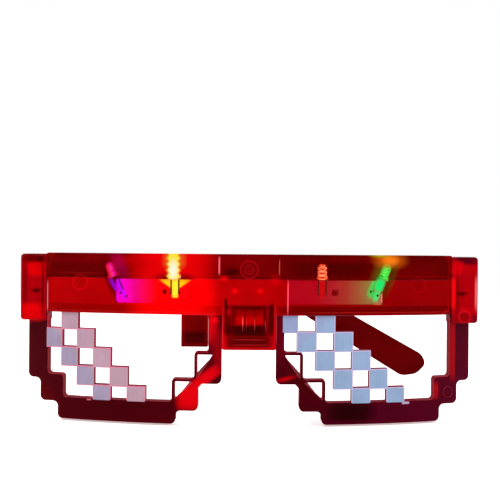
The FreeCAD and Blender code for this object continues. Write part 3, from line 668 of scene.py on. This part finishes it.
def frameBody(nt, part, masks):
    # the colour of the plastic, zone by zone, with painted light and shade: the patches, the rim's brighter
    # side walls and the edge highlights
    r, z, place = redLook, part["z"], part["place"]
    streaks = noise(nt, place, 120.0, 2.0, (0.06, 1, 1.6))
    streaks = mathNode(nt, "ADD", product(nt, streaks, 1.5), 0.25)
    top = shaded(nt, mixColour(nt, masks["right"], r["barTop"], r["barTopRight"]), streaks)
    low = mixColour(nt, masks["right"], r["barLow"], r["barLowRight"])
    foot = mixColour(nt, masks["right"], r["barFoot"], r["barFootRight"])
    low = mixColour(nt, rise(nt, z, "panelFoot"), foot, low)
    body = mixColour(nt, masks["right"], r["rim"], r["rimRight"])
    body = mixColour(nt, masks["bar"], body, mixColour(nt, rise(nt, z, "panelTop"), low, top))
    body = mixColour(nt, masks["bridge"], body, r["bridge"])
    body = mixColour(nt, masks["block"], body, r["block"])
    body = shaded(nt, body, mathNode(nt, "ADD", product(nt, part["flow"], 0.6), 0.7))
    # the painted light and shade patches
    for centre, size, lean, power, colour, strength in framePaintedLightShade:
        mask = product(nt, spot(nt, place, centre, size, lean, power), strength)
        body = mixColour(nt, mask, body, colour)
    mark = product(nt, ring(nt, place, r["blockMark"], 1.9, 0.7), 0.55)
    body = mixColour(nt, mark, body, r["blockMarkColour"])
    # painted light: the rim's side walls are a brighter red than its faces, most at the outer rim
    walls = mixColour(nt, masks["outerRim"], r["wall"], r["wallRim"])
    walls = mixColour(nt, rise(nt, z, "wallTop"), walls, body)
    body = mixColour(nt, part["walls"], body, walls)
    # painted highlight along the rounded edges
    body = mixColour(nt, product(nt, masks["edges"], 0.3), body, r["edgeHighlight"])
    # the raised squares show only their painted glow
    return mixColour(nt, masks["squares"], body, unlit)


def frameClearness(nt, part, masks):
    # how solid each zone is, its tint, and where boards and lamps show clearly
    r = redLook
    solid = mixNumber(nt, masks["bar"], r["solidRim"], r["solidBar"])
    tint = mixColour(nt, masks["bar"], r["tintRim"], r["tintBar"])
    for zone, share in (("bridge", "solidBridge"), ("block", "solidBlock"), ("rimWalls", "solidWall"),
                        ("box", "solidBox"), ("boxShade", "solidShade")):
        solid = mixNumber(nt, masks[zone], solid, r[share])
    tint = mixColour(nt, masks["bridge"], tint, r["tintBridge"])
    tint = mixColour(nt, masks["rimWalls"], tint, r["tintWall"])
    left, right = (boxMask(nt, part["x"], part["z"], *window) for window in boardWindows)
    clearing = mathNode(nt, "MAXIMUM", left, right)
    for name, (height, size) in lampWindows.items():
        mask = spot(nt, part["place"], (lampAt[name][0], height), size, lampLean[name], 4)
        clearing = mathNode(nt, "MAXIMUM", clearing, mask)
    nt.links.new(mixColour(nt, clearing, tint, r["lampTint"]), part["clear"].inputs["Color"])
    return product(nt, solid, inverse(nt, product(nt, clearing, 0.9))), clearing


def frameGlow(nt, part, masks, body, clearing):
    # painted light in the plastic: the lamps' glow, the bosses' rings, edge highlights, the lit rim walls
    # and the raised squares, and how far it hides what is behind
    r, place = redLook, part["place"]
    light, hides = unlit, 0.0
    for centre, size, lean, power, colour, strength, cover in frameLight:
        mask = product(nt, spot(nt, place, centre, size, lean, power), strength)
        if size[1] > 20:  # the wide light, which is weak below the bar
            mask = product(nt, mask, mixNumber(nt, masks["bar"], 0.1, 1.0))
            mask = product(nt, mask, inverse(nt, product(nt, clearing, 0.95)))
        if max(colour[1:]) > 0.35:  # lights of another colour than the plastic's
            body = mixColour(nt, mask, body, unlit)
        light = mixColour(nt, mask, light, colour)
        hides = mathNode(nt, "MAXIMUM", hides, product(nt, mask, cover))
    glow = yellowShape(nt, part["x"], part["z"], yellowGlow)
    core = spot(nt, place, yellowGlow["coreAt"], yellowGlow["coreSize"])
    light = mixColour(nt, glow, light, mixColour(nt, core, yellowGlow["edge"], yellowGlow["core"]))
    hides = mathNode(nt, "MAXIMUM", hides, product(nt, glow, 0.95))
    body = mixColour(nt, glow, body, unlit)
    # painted glow along the rings of the screw bosses
    for centre, (strength, rings) in zip(bossAt, bossRings):
        mark = 0.0
        for radius, width in rings:
            mark = mathNode(nt, "MAXIMUM", mark, ring(nt, place, centre, radius, width))
        light = mixColour(nt, product(nt, mark, strength), light, r["bossRingGlow"])
    # painted highlight along the rounded edges, as light
    light = mixColour(nt, product(nt, masks["edges"], 0.25), light, r["edgeHighlight"])
    # painted light on the rim walls
    light = mixColour(nt, product(nt, masks["rimWalls"], 0.7), light, r["lightWall"])
    # painted glow on the raised squares, pink on the left and lavender on the right
    squareGlowColour = mixColour(nt, step(nt, part["x"], -mm, mm), r["paleSquareGlow"], r["paleSquareGlowRight"])
    light = mixColour(nt, masks["squares"], light, squareGlowColour)
    return body, light, mathNode(nt, "MAXIMUM", hides, masks["squares"])


def frameRed():
    mat, nt, part = plasticBase("clearRedFrame")
    masks = frameMasks(nt, part)
    solid, clearing = frameClearness(nt, part, masks)
    body, light, hides = frameGlow(nt, part, masks, frameBody(nt, part, masks), clearing)
    shine = part["shine"]
    nt.links.new(body, shine.inputs["Base Color"])
    nt.links.new(light, shine.inputs["Emission Color"])
    shine.inputs["Emission Strength"].default_value = 1.0
    nt.links.new(mathNode(nt, "MAXIMUM", solid, hides), part["mix"].inputs[0])
    return mat


plainReds = {
    "clearRedCover": {
        "body": (0.3, 0.0, 0.001),
        "wall": (0.36, 0.0, 0.004),
        "tint": (0.5, 0.0, 0.002),
        "solid": 0.6,
        "foot": (0.09, 0.0, 0.001),
        "footTop": (4.4, 6.4),
    },
    "clearRedDoor": {
        "body": (0.26, 0.0, 0.001),
        "wall": (0.3, 0.0, 0.004),
        "tint": (0.5, 0.0, 0.002),
        "solid": 0.6,
    },
    "clearRedTemple": {
        "body": (0.2, 0.0, 0.001),
        "wall": (0.24, 0.0, 0.004),
        "tint": (0.3, 0.0, 0.002),
        "solid": 0.8,
    },
    "clearRedMark": {
        "body": (0.16, 0.0, 0.006),
        "wall": (0.2, 0.0, 0.004),
        "tint": (0.5, 0.0, 0.002),
        "solid": 0.8,
    },
}


def simpleRed(name):
    look = plainReds[name]
    mat, nt, part = plasticBase(name)
    # painted light: the side walls are a brighter red than the faces
    colour = mixColour(nt, part["walls"], look["body"], look["wall"])
    if "foot" in look:
        low, high = look["footTop"]
        colour = mixColour(nt, step(nt, part["z"], low * mm, high * mm), look["foot"], colour)
    colour = shaded(nt, colour, mathNode(nt, "ADD", product(nt, part["flow"], 0.8), 0.6))
    # painted highlight along the rounded edges
    colour = mixColour(nt, product(nt, part["lines"], 0.4), colour, redLook["edgeHighlight"])
    nt.links.new(colour, part["shine"].inputs["Base Color"])
    part["clear"].inputs["Color"].default_value = (*look["tint"], 1)
    part["mix"].inputs[0].default_value = look["solid"]
    return mat


# Boards with the lamps' light on them

leftBoard = {
    "span": (-45.2, -11.6),
    "stops": [
        (0.0, seen(236, 4, 214)),
        (0.1, seen(244, 0, 198)),
        (0.22, seen(220, 0, 122)),
        (0.32, seen(238, 0, 70)),
        (0.41, seen(248, 0, 8)),
        (1.0, seen(240, 0, 6)),
    ],
    "glow": 1.2,
    "patches": [  # centre, half size, lean, power, colour, strength
        ((lampAt["violet"][0] + 2.7, 20.0), (1.0, 4.2), -24, 4, seen(176, 2, 236), 0.9),
    ],
}
rightBoard = {
    "span": (11.6, 45.2),
    "stops": [
        (0.0, seen(182, 0, 28)),
        (0.3, seen(180, 2, 26)),
        (0.48, seen(176, 30, 38)),
        (0.62, seen(170, 56, 42)),
        (0.75, seen(164, 96, 56)),
        (0.86, seen(154, 126, 66)),
        (1.0, seen(190, 120, 84)),
    ],
    "glow": 0.9,
    "patches": [
        ((lampAt["green"][0] - 4.4, 20.5), (3.0, 3.4), 0, 2, seen(60, 190, 70), 0.15),
        ((lampAt["green"][0] - 2.7, 20.1), (2.1, 3.6), 22, 4, seen(4, 226, 96), 1.0),
        ((lampAt["green"][0] - 1.6, 19.4), (0.9, 4.0), 22, 8, seen(10, 255, 130), 0.8),
        ((lampAt["orange"][0], 20.0), (1.1, 3.4), 0, 4, seen(200, 6, 10), 1.0),
        ((28.6, 18.6), (1.1, 1.1), 0, 8, seen(104, 6, 10), 0.85),
    ],
}
yellowStar = {
    "halfWidth": 6.0 * mm,
    "height": 4.4 * mm,
    "top": 22.4 * mm,
    "curve": 0.8,
    "colour": seen(255, 200, 16),
    "stripHalf": 0.95,
    "stripFoot": 16.6,
    "stripTop": 24.0,
    "stripColour": seen(255, 228, 50),
}


def glowing(nt, out, colour, strength, roughness, gloss):
    # a surface that shows its own light, with a dull body under it
    addShine(nt, out.inputs[0], {
        "Roughness": roughness,
        "Specular IOR Level": gloss,
        "Base Color": mixColour(nt, 0.7, colour, unlit),
        "Emission Color": colour,
        "Emission Strength": strength,
    })


def addStar(nt, x, z, colour, s):
    # the yellow light spreads over the board as a star with a strip down its middle
    middle = lampAt["yellow"][0]
    across = mathNode(nt, "ABSOLUTE", mathNode(nt, "SUBTRACT", x, middle * mm))
    across = mathNode(nt, "POWER", mathNode(nt, "DIVIDE", across, s["halfWidth"]), s["curve"])
    down = mathNode(nt, "DIVIDE", mathNode(nt, "SUBTRACT", s["top"], z), s["height"])
    total = mathNode(nt, "ADD", across, mathNode(nt, "ABSOLUTE", down))
    colour = mixColour(nt, inverse(nt, step(nt, total, 0.8, 1.0)), colour, s["colour"])
    low, high = middle - s["stripHalf"], middle + s["stripHalf"]
    strip = boxMask(nt, x, z, low, high, s["stripFoot"], s["stripTop"])
    return mixColour(nt, strip, colour, s["stripColour"])


def boardMaterial(name, look, star=None):
    mat, nt, out = newMaterial(name)
    place, x, y, z = objectPlace(nt)
    along = nt.nodes.new("ShaderNodeMapRange")
    nt.links.new(x, along.inputs["Value"])
    along.inputs["From Min"].default_value = look["span"][0] * mm
    along.inputs["From Max"].default_value = look["span"][1] * mm
    colour = colourRamp(nt, along.outputs[0], look["stops"])
    colour = mixColour(nt, product(nt, noise(nt, place, 700.0), 0.2), colour, unlit)
    if star:
        colour = addStar(nt, x, z, colour, star)
    for centre, size, lean, power, tone, strength in look["patches"]:
        mask = product(nt, spot(nt, place, centre, size, lean, power), strength)
        colour = mixColour(nt, mask, colour, tone)
    glowing(nt, out, colour, look["glow"], 0.6, 0.05)
    return mat


# Lamps

lampLooks = {
    "violet": {"core": seen(240, 8, 160), "dark": seen(214, 4, 90), "line": seen(255, 70, 190),
               "rim": seen(214, 20, 44), "strength": 0.95, "bands": 1.5, "lineShare": 0.1},
    "yellow": {"core": (1.0, 0.98, 0.78), "dark": (1.0, 0.9, 0.3), "line": (1.0, 1.0, 0.95),
               "rim": (1.0, 0.86, 0.2), "strength": 1.5, "bands": 1.0, "lineShare": 0.8},
    "orange": {"core": seen(226, 60, 24), "dark": seen(150, 10, 4), "line": seen(255, 190, 130),
               "rim": seen(236, 70, 34), "strength": 1.4, "bands": 1.5, "lineShare": 0.4},
    "green": {"core": seen(30, 232, 60), "dark": seen(10, 170, 40), "line": seen(150, 250, 120),
              "rim": seen(70, 240, 50), "strength": 1.0, "bands": 1.1, "lineShare": 0.35},
}


def lampMaterial(name):
    look = lampLooks[name]
    mat, nt, out = newMaterial(name + "Lamp")
    place, x, y, z = objectPlace(nt)
    u, v = turned(nt, x, z, lampAt[name], lampLean[name])
    wobble = product(nt, mathNode(nt, "SUBTRACT", noise(nt, place, 500.0, 1.0), 0.5), 0.9 * mm)
    wave = mathNode(nt, "ADD", mathNode(nt, "ADD", v, wobble), product(nt, u, u, -0.35 / mm))
    wave = mathNode(nt, "SINE", product(nt, wave, 2 * math.pi / (look["bands"] * mm)))
    weight = nt.nodes.new("ShaderNodeLayerWeight")
    weight.inputs["Blend"].default_value = 0.35
    dark = step(nt, product(nt, wave, -1.0), 0.2, 0.95)
    colour = mixColour(nt, product(nt, dark, 0.75), look["core"], look["dark"])
    colour = mixColour(nt, product(nt, step(nt, wave, 0.25, 0.95), look["lineShare"]), colour, look["line"])
    if name == "violet":
        colour = mixColour(nt, step(nt, u, -1.1 * mm, 0.1 * mm), seen(222, 14, 54), colour)
    colour = mixColour(nt, step(nt, weight.outputs["Facing"], 0.45, 0.85), colour, look["rim"])
    glowing(nt, out, colour, look["strength"], 0.08, 0.3)
    return mat


# Foil, metal and small parts

foilLooks = {  # the rows of squares change colour at the split
    "left": {"inner": (0.33, 0.202, 0.257), "outer": (0.245, 0.196, 0.286), "split": 59.5},
    "right": {"inner": (0.183, 0.22, 0.355), "outer": (0.172, 0.243, 0.37), "split": 16.0},
}


def foilMaterial(name, look):
    mat, nt, out = newMaterial(name)
    place, x, y, z = objectPlace(nt)
    lane = mathNode(nt, "SUBTRACT", mathNode(nt, "ABSOLUTE", x), z)
    outer = step(nt, lane, (look["split"] - 1) * mm, (look["split"] + 1) * mm)
    tone = mixColour(nt, outer, look["inner"], look["outer"])
    grain = noise(nt, place, 1300.0, 3.0, (1, 1, 0.1))
    shade = mathNode(nt, "ADD", product(nt, grain, 0.22), product(nt, noise(nt, place, 160.0), 0.3))
    tone = shaded(nt, tone, mathNode(nt, "ADD", shade, 0.74))
    addShine(nt, out.inputs[0], {
        "Metallic": 0.35,
        "Roughness": 0.42,
        "Specular IOR Level": 0.3,
        "Base Color": tone,
        "Normal": bumped(nt, grain, 0.1, 0.1 * mm).outputs[0],
    })
    return mat


def plainMaterial(name, colour, roughness, metallic=0.0):
    mat, nt, out = newMaterial(name)
    place = objectPlace(nt)[0]
    grain = noise(nt, place, 600.0, 3.0)
    tone = mixColour(nt, product(nt, grain, 0.6), colour, tuple(v * 0.6 for v in colour))
    rough = nt.nodes.new("ShaderNodeMapRange")
    nt.links.new(grain, rough.inputs["Value"])
    rough.inputs["To Min"].default_value = roughness * 0.8
    rough.inputs["To Max"].default_value = roughness * 1.25
    addShine(nt, out.inputs[0], {"Metallic": metallic, "Base Color": tone, "Roughness": rough.outputs[0]})
    return mat


# painted light of the nearest lamp on the leads and solder
leadLampLight = [  # centre, half size, colour
    ((-42.5, 20.0), (6.0, 9.0), (0.2, 0.0, 0.3)),
    ((-24.5, 20.0), (4.0, 9.0), (0.06, 0.035, 0.0)),
    ((23.0, 20.0), (4.0, 9.0), (0.12, 0.001, 0.0)),
    ((43.0, 20.0), (5.0, 9.0), (0.0, 0.06, 0.012)),
]


def leadMaterial():
    mat, nt, out = newMaterial("litLeads")
    place = objectPlace(nt)[0]
    colour = (0.05, 0.03, 0.03)
    # painted lamp light, patch by patch
    for centre, size, tint in leadLampLight:
        colour = mixColour(nt, spot(nt, place, centre, size, 0, 8), colour, tint)
    colour = mixColour(nt, product(nt, noise(nt, place, 900.0), 0.4), colour, unlit)
    values = {"Metallic": 0.3, "Roughness": 0.4, "Specular IOR Level": 0.2, "Base Color": colour}
    addShine(nt, out.inputs[0], values)
    return mat


def dress(node, mat):
    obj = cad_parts[node]
    if not obj.material_slots:
        obj.data.materials.append(mat)
    for s in obj.material_slots:
        s.material = mat


cellLook = {
    "bright": (0.5, 0.3, 0.3),
    "dark": (0.03, 0.012, 0.012),
    "edge": (1.0, 0.9, 0.9),
    "shadeTop": 8.6 * mm,  # below this the cells lie in shadow
    "shadeFoot": 7.0 * mm,
    "edgeWidth": 0.16 * mm,
}


def cellMaterial(c):
    # painted light and shade on the cells: a lit colour, a painted shadow below shadeTop and painted edge
    # highlights
    mat, nt, out = newMaterial("litCells")
    place, x, y, z = objectPlace(nt)
    # stretched noise that makes the edge of the painted shadow uneven
    unevenness = noise(nt, place, 500.0, 3.0, (3, 1, 1))
    level = mathNode(nt, "ADD", z, product(nt, mathNode(nt, "SUBTRACT", unevenness, 0.5), 2.5 * mm))
    tone = mixColour(nt, step(nt, level, c["shadeFoot"], c["shadeTop"]), c["dark"], c["bright"])
    # painted highlights along the cells' rounded edges
    lines, rounded = edgeLines(nt, c["edgeWidth"])
    tone = mixColour(nt, product(nt, lines, 0.8), tone, c["edge"])
    addShine(nt, out.inputs[0], {
        "Metallic": 0.4,
        "Roughness": 0.35,
        "Base Color": tone,
        # a faint painted glow
        "Emission Color": tone,
        "Emission Strength": 0.2,
    })
    return mat


screwLook = {
    "steel": (0.42, 0.4, 0.38),
    # the painted shade in the slots
    "slot": (0.012, 0.008, 0.008),
    "slotHalf": 0.25 * mm,
    "slotReach": 1.3 * mm,
}


def screwMaterial(s):
    # steel heads with painted shade in their cross slots
    mat, nt, out = newMaterial("slottedSteel")
    place, x, y, z = objectPlace(nt)
    low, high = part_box("battery_door_screw")
    middles = [(cx * mm, cz * mm) for cx, cz in bossAt]
    middles.append(((low[0] + high[0]) / 2, (low[2] + high[2]) / 2))
    slotShade = 0.0
    for cx, cz in middles:
        offX = mathNode(nt, "ABSOLUTE", mathNode(nt, "SUBTRACT", x, cx))
        offZ = mathNode(nt, "ABSOLUTE", mathNode(nt, "SUBTRACT", z, cz))
        most, least = mathNode(nt, "MAXIMUM", offX, offZ), mathNode(nt, "MINIMUM", offX, offZ)
        near = inverse(nt, step(nt, most, s["slotReach"], s["slotReach"] + 0.05 * mm))
        thin = inverse(nt, step(nt, least, s["slotHalf"], s["slotHalf"] + 0.03 * mm))
        slotShade = mathNode(nt, "MAXIMUM", slotShade, product(nt, near, thin))
    unevenness = mixColour(nt, noise(nt, place, 900.0), s["steel"], tuple(v * 0.7 for v in s["steel"]))
    addShine(nt, out.inputs[0], {
        "Roughness": 0.35,
        "Specular IOR Level": 0.2,
        "Base Color": mixColour(nt, slotShade, unevenness, s["slot"]),
        "Metallic": product(nt, inverse(nt, slotShade), 0.9),
    })
    return mat


steel = screwMaterial(screwLook)
nickel = plainMaterial("nickelSteel", (0.6, 0.56, 0.52), 0.22, 1.0)
black = plainMaterial("blackPlastic", (0.02, 0.02, 0.022), 0.4)
sleeve = plainMaterial("wireSleeve", (0.35, 0.01, 0.01), 0.45)

dress("front_frame", frameRed())
dress("back_cover", simpleRed("clearRedCover"))
dress("battery_door", simpleRed("clearRedDoor"))
templeRed = simpleRed("clearRedTemple")
for name in ("left_temple", "right_temple"):
    dress(name, templeRed)
dress("left_circuit_board", boardMaterial("litBoardLeft", leftBoard, yellowStar))
dress("right_circuit_board", boardMaterial("litBoardRight", rightBoard))
for name in lampLean:
    dress("led_" + name, lampMaterial(name))
dress("left_silver_squares", foilMaterial("silverFoilLeft", foilLooks["left"]))
dress("right_silver_squares", foilMaterial("silverFoilRight", foilLooks["right"]))
for name in ("battery_door_screw", "cover_screws"):
    dress(name, steel)
dress("led_leads", leadMaterial())
for name in ("left_hinge_pin", "right_hinge_pin", "positive_contact", "negative_contact"):
    dress(name, nickel)
litCells = cellMaterial(cellLook)
for name in ("left_button_cell", "middle_button_cell", "right_button_cell"):
    dress(name, litCells)
for name in ("control_chip", "resistors", "switch_body", "switch_plunger", "push_button"):
    dress(name, black)
for name in ("link_wires", "switch_wires"):
    dress(name, sleeve)
print("party glasses: materials made")


# Small repeated pieces

def meshFromNodes(name, tree, values, points=None):
    # runs a node tree on some points and gives back its plain mesh
    mesh = bpy.data.meshes.new(name + "Points")
    mesh.from_pydata(points or [(0, 0, 0)], [], [])
    carrier = bpy.data.objects.new(name + "Points", mesh)
    bpy.context.collection.objects.link(carrier)
    modifier = carrier.modifiers.new("nodes", "NODES")
    modifier.node_group = tree
    for item in tree.interface.items_tree:
        if item.in_out == "INPUT" and item.name in values:
            modifier[item.identifier] = values[item.name]
    graph = bpy.context.evaluated_depsgraph_get()
    result = bpy.data.meshes.new_from_object(carrier.evaluated_get(graph))
    result.name = name
    carrier.modifiers.remove(modifier)
    bpy.data.objects.remove(carrier)
    return result


def newTree(name, sockets):
    tree = bpy.data.node_groups.new(name, "GeometryNodeTree")
    tree.interface.new_socket("Geometry", in_out="INPUT", socket_type="NodeSocketGeometry")
    for socket, kind, value in sockets:
        item = tree.interface.new_socket(socket, in_out="INPUT", socket_type=kind)
        if value is not None:
            item.default_value = value
    tree.interface.new_socket("Geometry", in_out="OUTPUT", socket_type="NodeSocketGeometry")
    return tree, tree.nodes.new("NodeGroupInput"), tree.nodes.new("NodeGroupOutput")


def endTree(tree, source, inputs, output):
    realize = tree.nodes.new("GeometryNodeRealizeInstances")
    finish = tree.nodes.new("GeometryNodeSetMaterial")
    tree.links.new(source, realize.inputs[0])
    tree.links.new(realize.outputs[0], finish.inputs["Geometry"])
    tree.links.new(inputs.outputs["Material"], finish.inputs["Material"])
    tree.links.new(finish.outputs[0], output.inputs[0])


def ringTree():
    # rings one above another
    tree, inputs, output = newTree("ringTree", [
        ("Ribs", "NodeSocketInt", 4), ("Pitch", "NodeSocketFloat", 1.0), ("Radius", "NodeSocketFloat", 1.0),
        ("Thickness", "NodeSocketFloat", 0.1), ("Material", "NodeSocketMaterial", None)])
    line = tree.nodes.new("GeometryNodeMeshLine")
    offset = tree.nodes.new("ShaderNodeCombineXYZ")
    circle = tree.nodes.new("GeometryNodeCurvePrimitiveCircle")
    profile = tree.nodes.new("GeometryNodeCurvePrimitiveCircle")
    sweep = tree.nodes.new("GeometryNodeCurveToMesh")
    place = tree.nodes.new("GeometryNodeInstanceOnPoints")
    circle.inputs["Resolution"].default_value = 24
    profile.inputs["Resolution"].default_value = 8
    tree.links.new(inputs.outputs["Ribs"], line.inputs["Count"])
    tree.links.new(inputs.outputs["Pitch"], offset.inputs["Z"])
    tree.links.new(offset.outputs[0], line.inputs["Offset"])
    tree.links.new(inputs.outputs["Radius"], circle.inputs["Radius"])
    tree.links.new(inputs.outputs["Thickness"], profile.inputs["Radius"])
    tree.links.new(circle.outputs[0], sweep.inputs["Curve"])
    tree.links.new(profile.outputs[0], sweep.inputs["Profile Curve"])
    tree.links.new(line.outputs[0], place.inputs["Points"])
    tree.links.new(sweep.outputs[0], place.inputs["Instance"])
    endTree(tree, place.outputs[0], inputs, output)
    return tree


def domeTree():
    # a low dome on every point
    tree, inputs, output = newTree("solderDomeTree", [
        ("Radius", "NodeSocketFloat", 0.5), ("Material", "NodeSocketMaterial", None)])
    ball = tree.nodes.new("GeometryNodeMeshIcoSphere")
    ball.inputs["Subdivisions"].default_value = 3
    place = tree.nodes.new("GeometryNodeInstanceOnPoints")
    place.inputs["Scale"].default_value = (1.0, 0.55, 1.0)
    tree.links.new(inputs.outputs["Radius"], ball.inputs["Radius"])
    tree.links.new(inputs.outputs["Geometry"], place.inputs["Points"])
    tree.links.new(ball.outputs[0], place.inputs["Instance"])
    endTree(tree, place.outputs[0], inputs, output)
    return tree


def addPiece(name, mesh, body):
    piece = bpy.data.objects.new(name, mesh)
    bpy.context.collection.objects.link(piece)
    for face in mesh.polygons:
        face.use_smooth = True
    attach(piece, body)
    return piece


lampRibs = {
    "radius": 1.5 * mm,
    "thickness": 0.13 * mm,
    "violet": (2, 2.2 * mm),  # ribs and pitch
    "yellow": (4, 0.95 * mm),
    "orange": (3, 1.35 * mm),
    "green": (5, 0.8 * mm),
}


def ribMaterial(name):
    look = lampLooks[name]
    mat, nt, out = newMaterial(name + "Ribs")
    place = objectPlace(nt)[0]
    tone = mixColour(nt, noise(nt, place, 700.0), look["line"], look["core"])
    if name == "violet":
        tone = mixColour(nt, 0.6, tone, look["core"])
    glowing(nt, out, tone, look["strength"] * 1.15, 0.15, 0.3)
    return mat


def ringValues(count, pitch, look, mat):
    values = {"Ribs": count, "Pitch": pitch, "Material": mat}
    values.update(Radius=look["radius"], Thickness=look["thickness"])
    return values


def makeLampRibs(r, tree):
    for name, lean in lampLean.items():
        count, pitch = r[name]
        mesh = meshFromNodes(name + "LampRibs", tree, ringValues(count, pitch, r, ribMaterial(name)))
        low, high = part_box("led_" + name)
        middle = Vector((low[i] + high[i]) / 2 for i in range(3))
        turn = Matrix.Rotation(math.radians(lean), 4, "Y")
        start = Matrix.Translation((0, 0, -(count - 1) * pitch / 2))
        mesh.transform(Matrix.Translation(middle) @ turn @ start)
        addPiece(name + "LampRibs", mesh, "frame")


solder = {
    "radius": 0.42 * mm,
    "left": [(-43.0, 18.0), (-41.0, 16.9), (-26.1, 18.2), (-23.1, 18.2)],
    "right": [(22.85, 18.2), (25.4, 18.2), (40.6, 19.0), (42.9, 17.7)],
}


def faceAt(node, x, z):
    # where a line from the front first meets a node, and which way the face looks
    start = Vector((x * mm, -50 * mm, z * mm))
    hit, place, normal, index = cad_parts[node].ray_cast(start, Vector((0, 1, 0)))
    return place, normal


def makeSolder(s, tree):
    mat = leadMaterial()
    for side in ("left", "right"):
        points = [faceAt(side + "_circuit_board", x, z)[0] for x, z in s[side]]
        mesh = meshFromNodes(side + "SolderJoints", tree, {"Radius": s["radius"], "Material": mat}, points)
        addPiece(side + "SolderJoints", mesh, "frame")


gasket = {
    "radius": 4.75 * mm,
    "thickness": 0.17 * mm,
}


def makeGaskets(g, tree):
    # one ring between the can and the cap of every cell
    mat = plainMaterial("gasketPlastic", (0.05, 0.05, 0.055), 0.5)
    for name in ("left", "middle", "right"):
        mesh = meshFromNodes(name + "CellGasket", tree, ringValues(1, mm, g, mat))
        low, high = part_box(name + "_button_cell")
        vertices = [v.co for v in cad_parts[name + "_button_cell"].data.vertices]
        canSides = [v.x for v in vertices if v.z > high[2] - 0.2 * mm]  # the can is wider than the cap
        capOnRight = high[0] - max(canSides) > 0.1 * mm
        canFace = max(canSides) if capOnRight else min(canSides)
        centre = Vector((canFace, (low[1] + high[1]) / 2, (low[2] + high[2]) / 2))
        mesh.transform(Matrix.Translation(centre) @ Matrix.Rotation(math.radians(90), 4, "Y"))
        addPiece(name + "CellGasket", mesh, "frame")


mouldMark = {
    "place": (67.5, -14.9),  # in the front view, in millimetres
    "radius": 1.85 * mm,
    "thickness": 0.12 * mm,
}


def makeMouldMark(m, tree):
    # the raised ring low on the right rim
    place, normal = faceAt("front_frame", *m["place"])
    mesh = meshFromNodes("mouldMark", tree, ringValues(1, mm, m, simpleRed("clearRedMark")))
    mesh.transform(Matrix.Translation(place) @ normal.to_track_quat("Z", "Y").to_matrix().to_4x4())
    addPiece("mouldMark", mesh, "frame")


rings = ringTree()
makeLampRibs(lampRibs, rings)
makeGaskets(gasket, rings)
makeMouldMark(mouldMark, rings)
makeSolder(solder, domeTree())
print("party glasses: small pieces made")

print("party glasses: done")
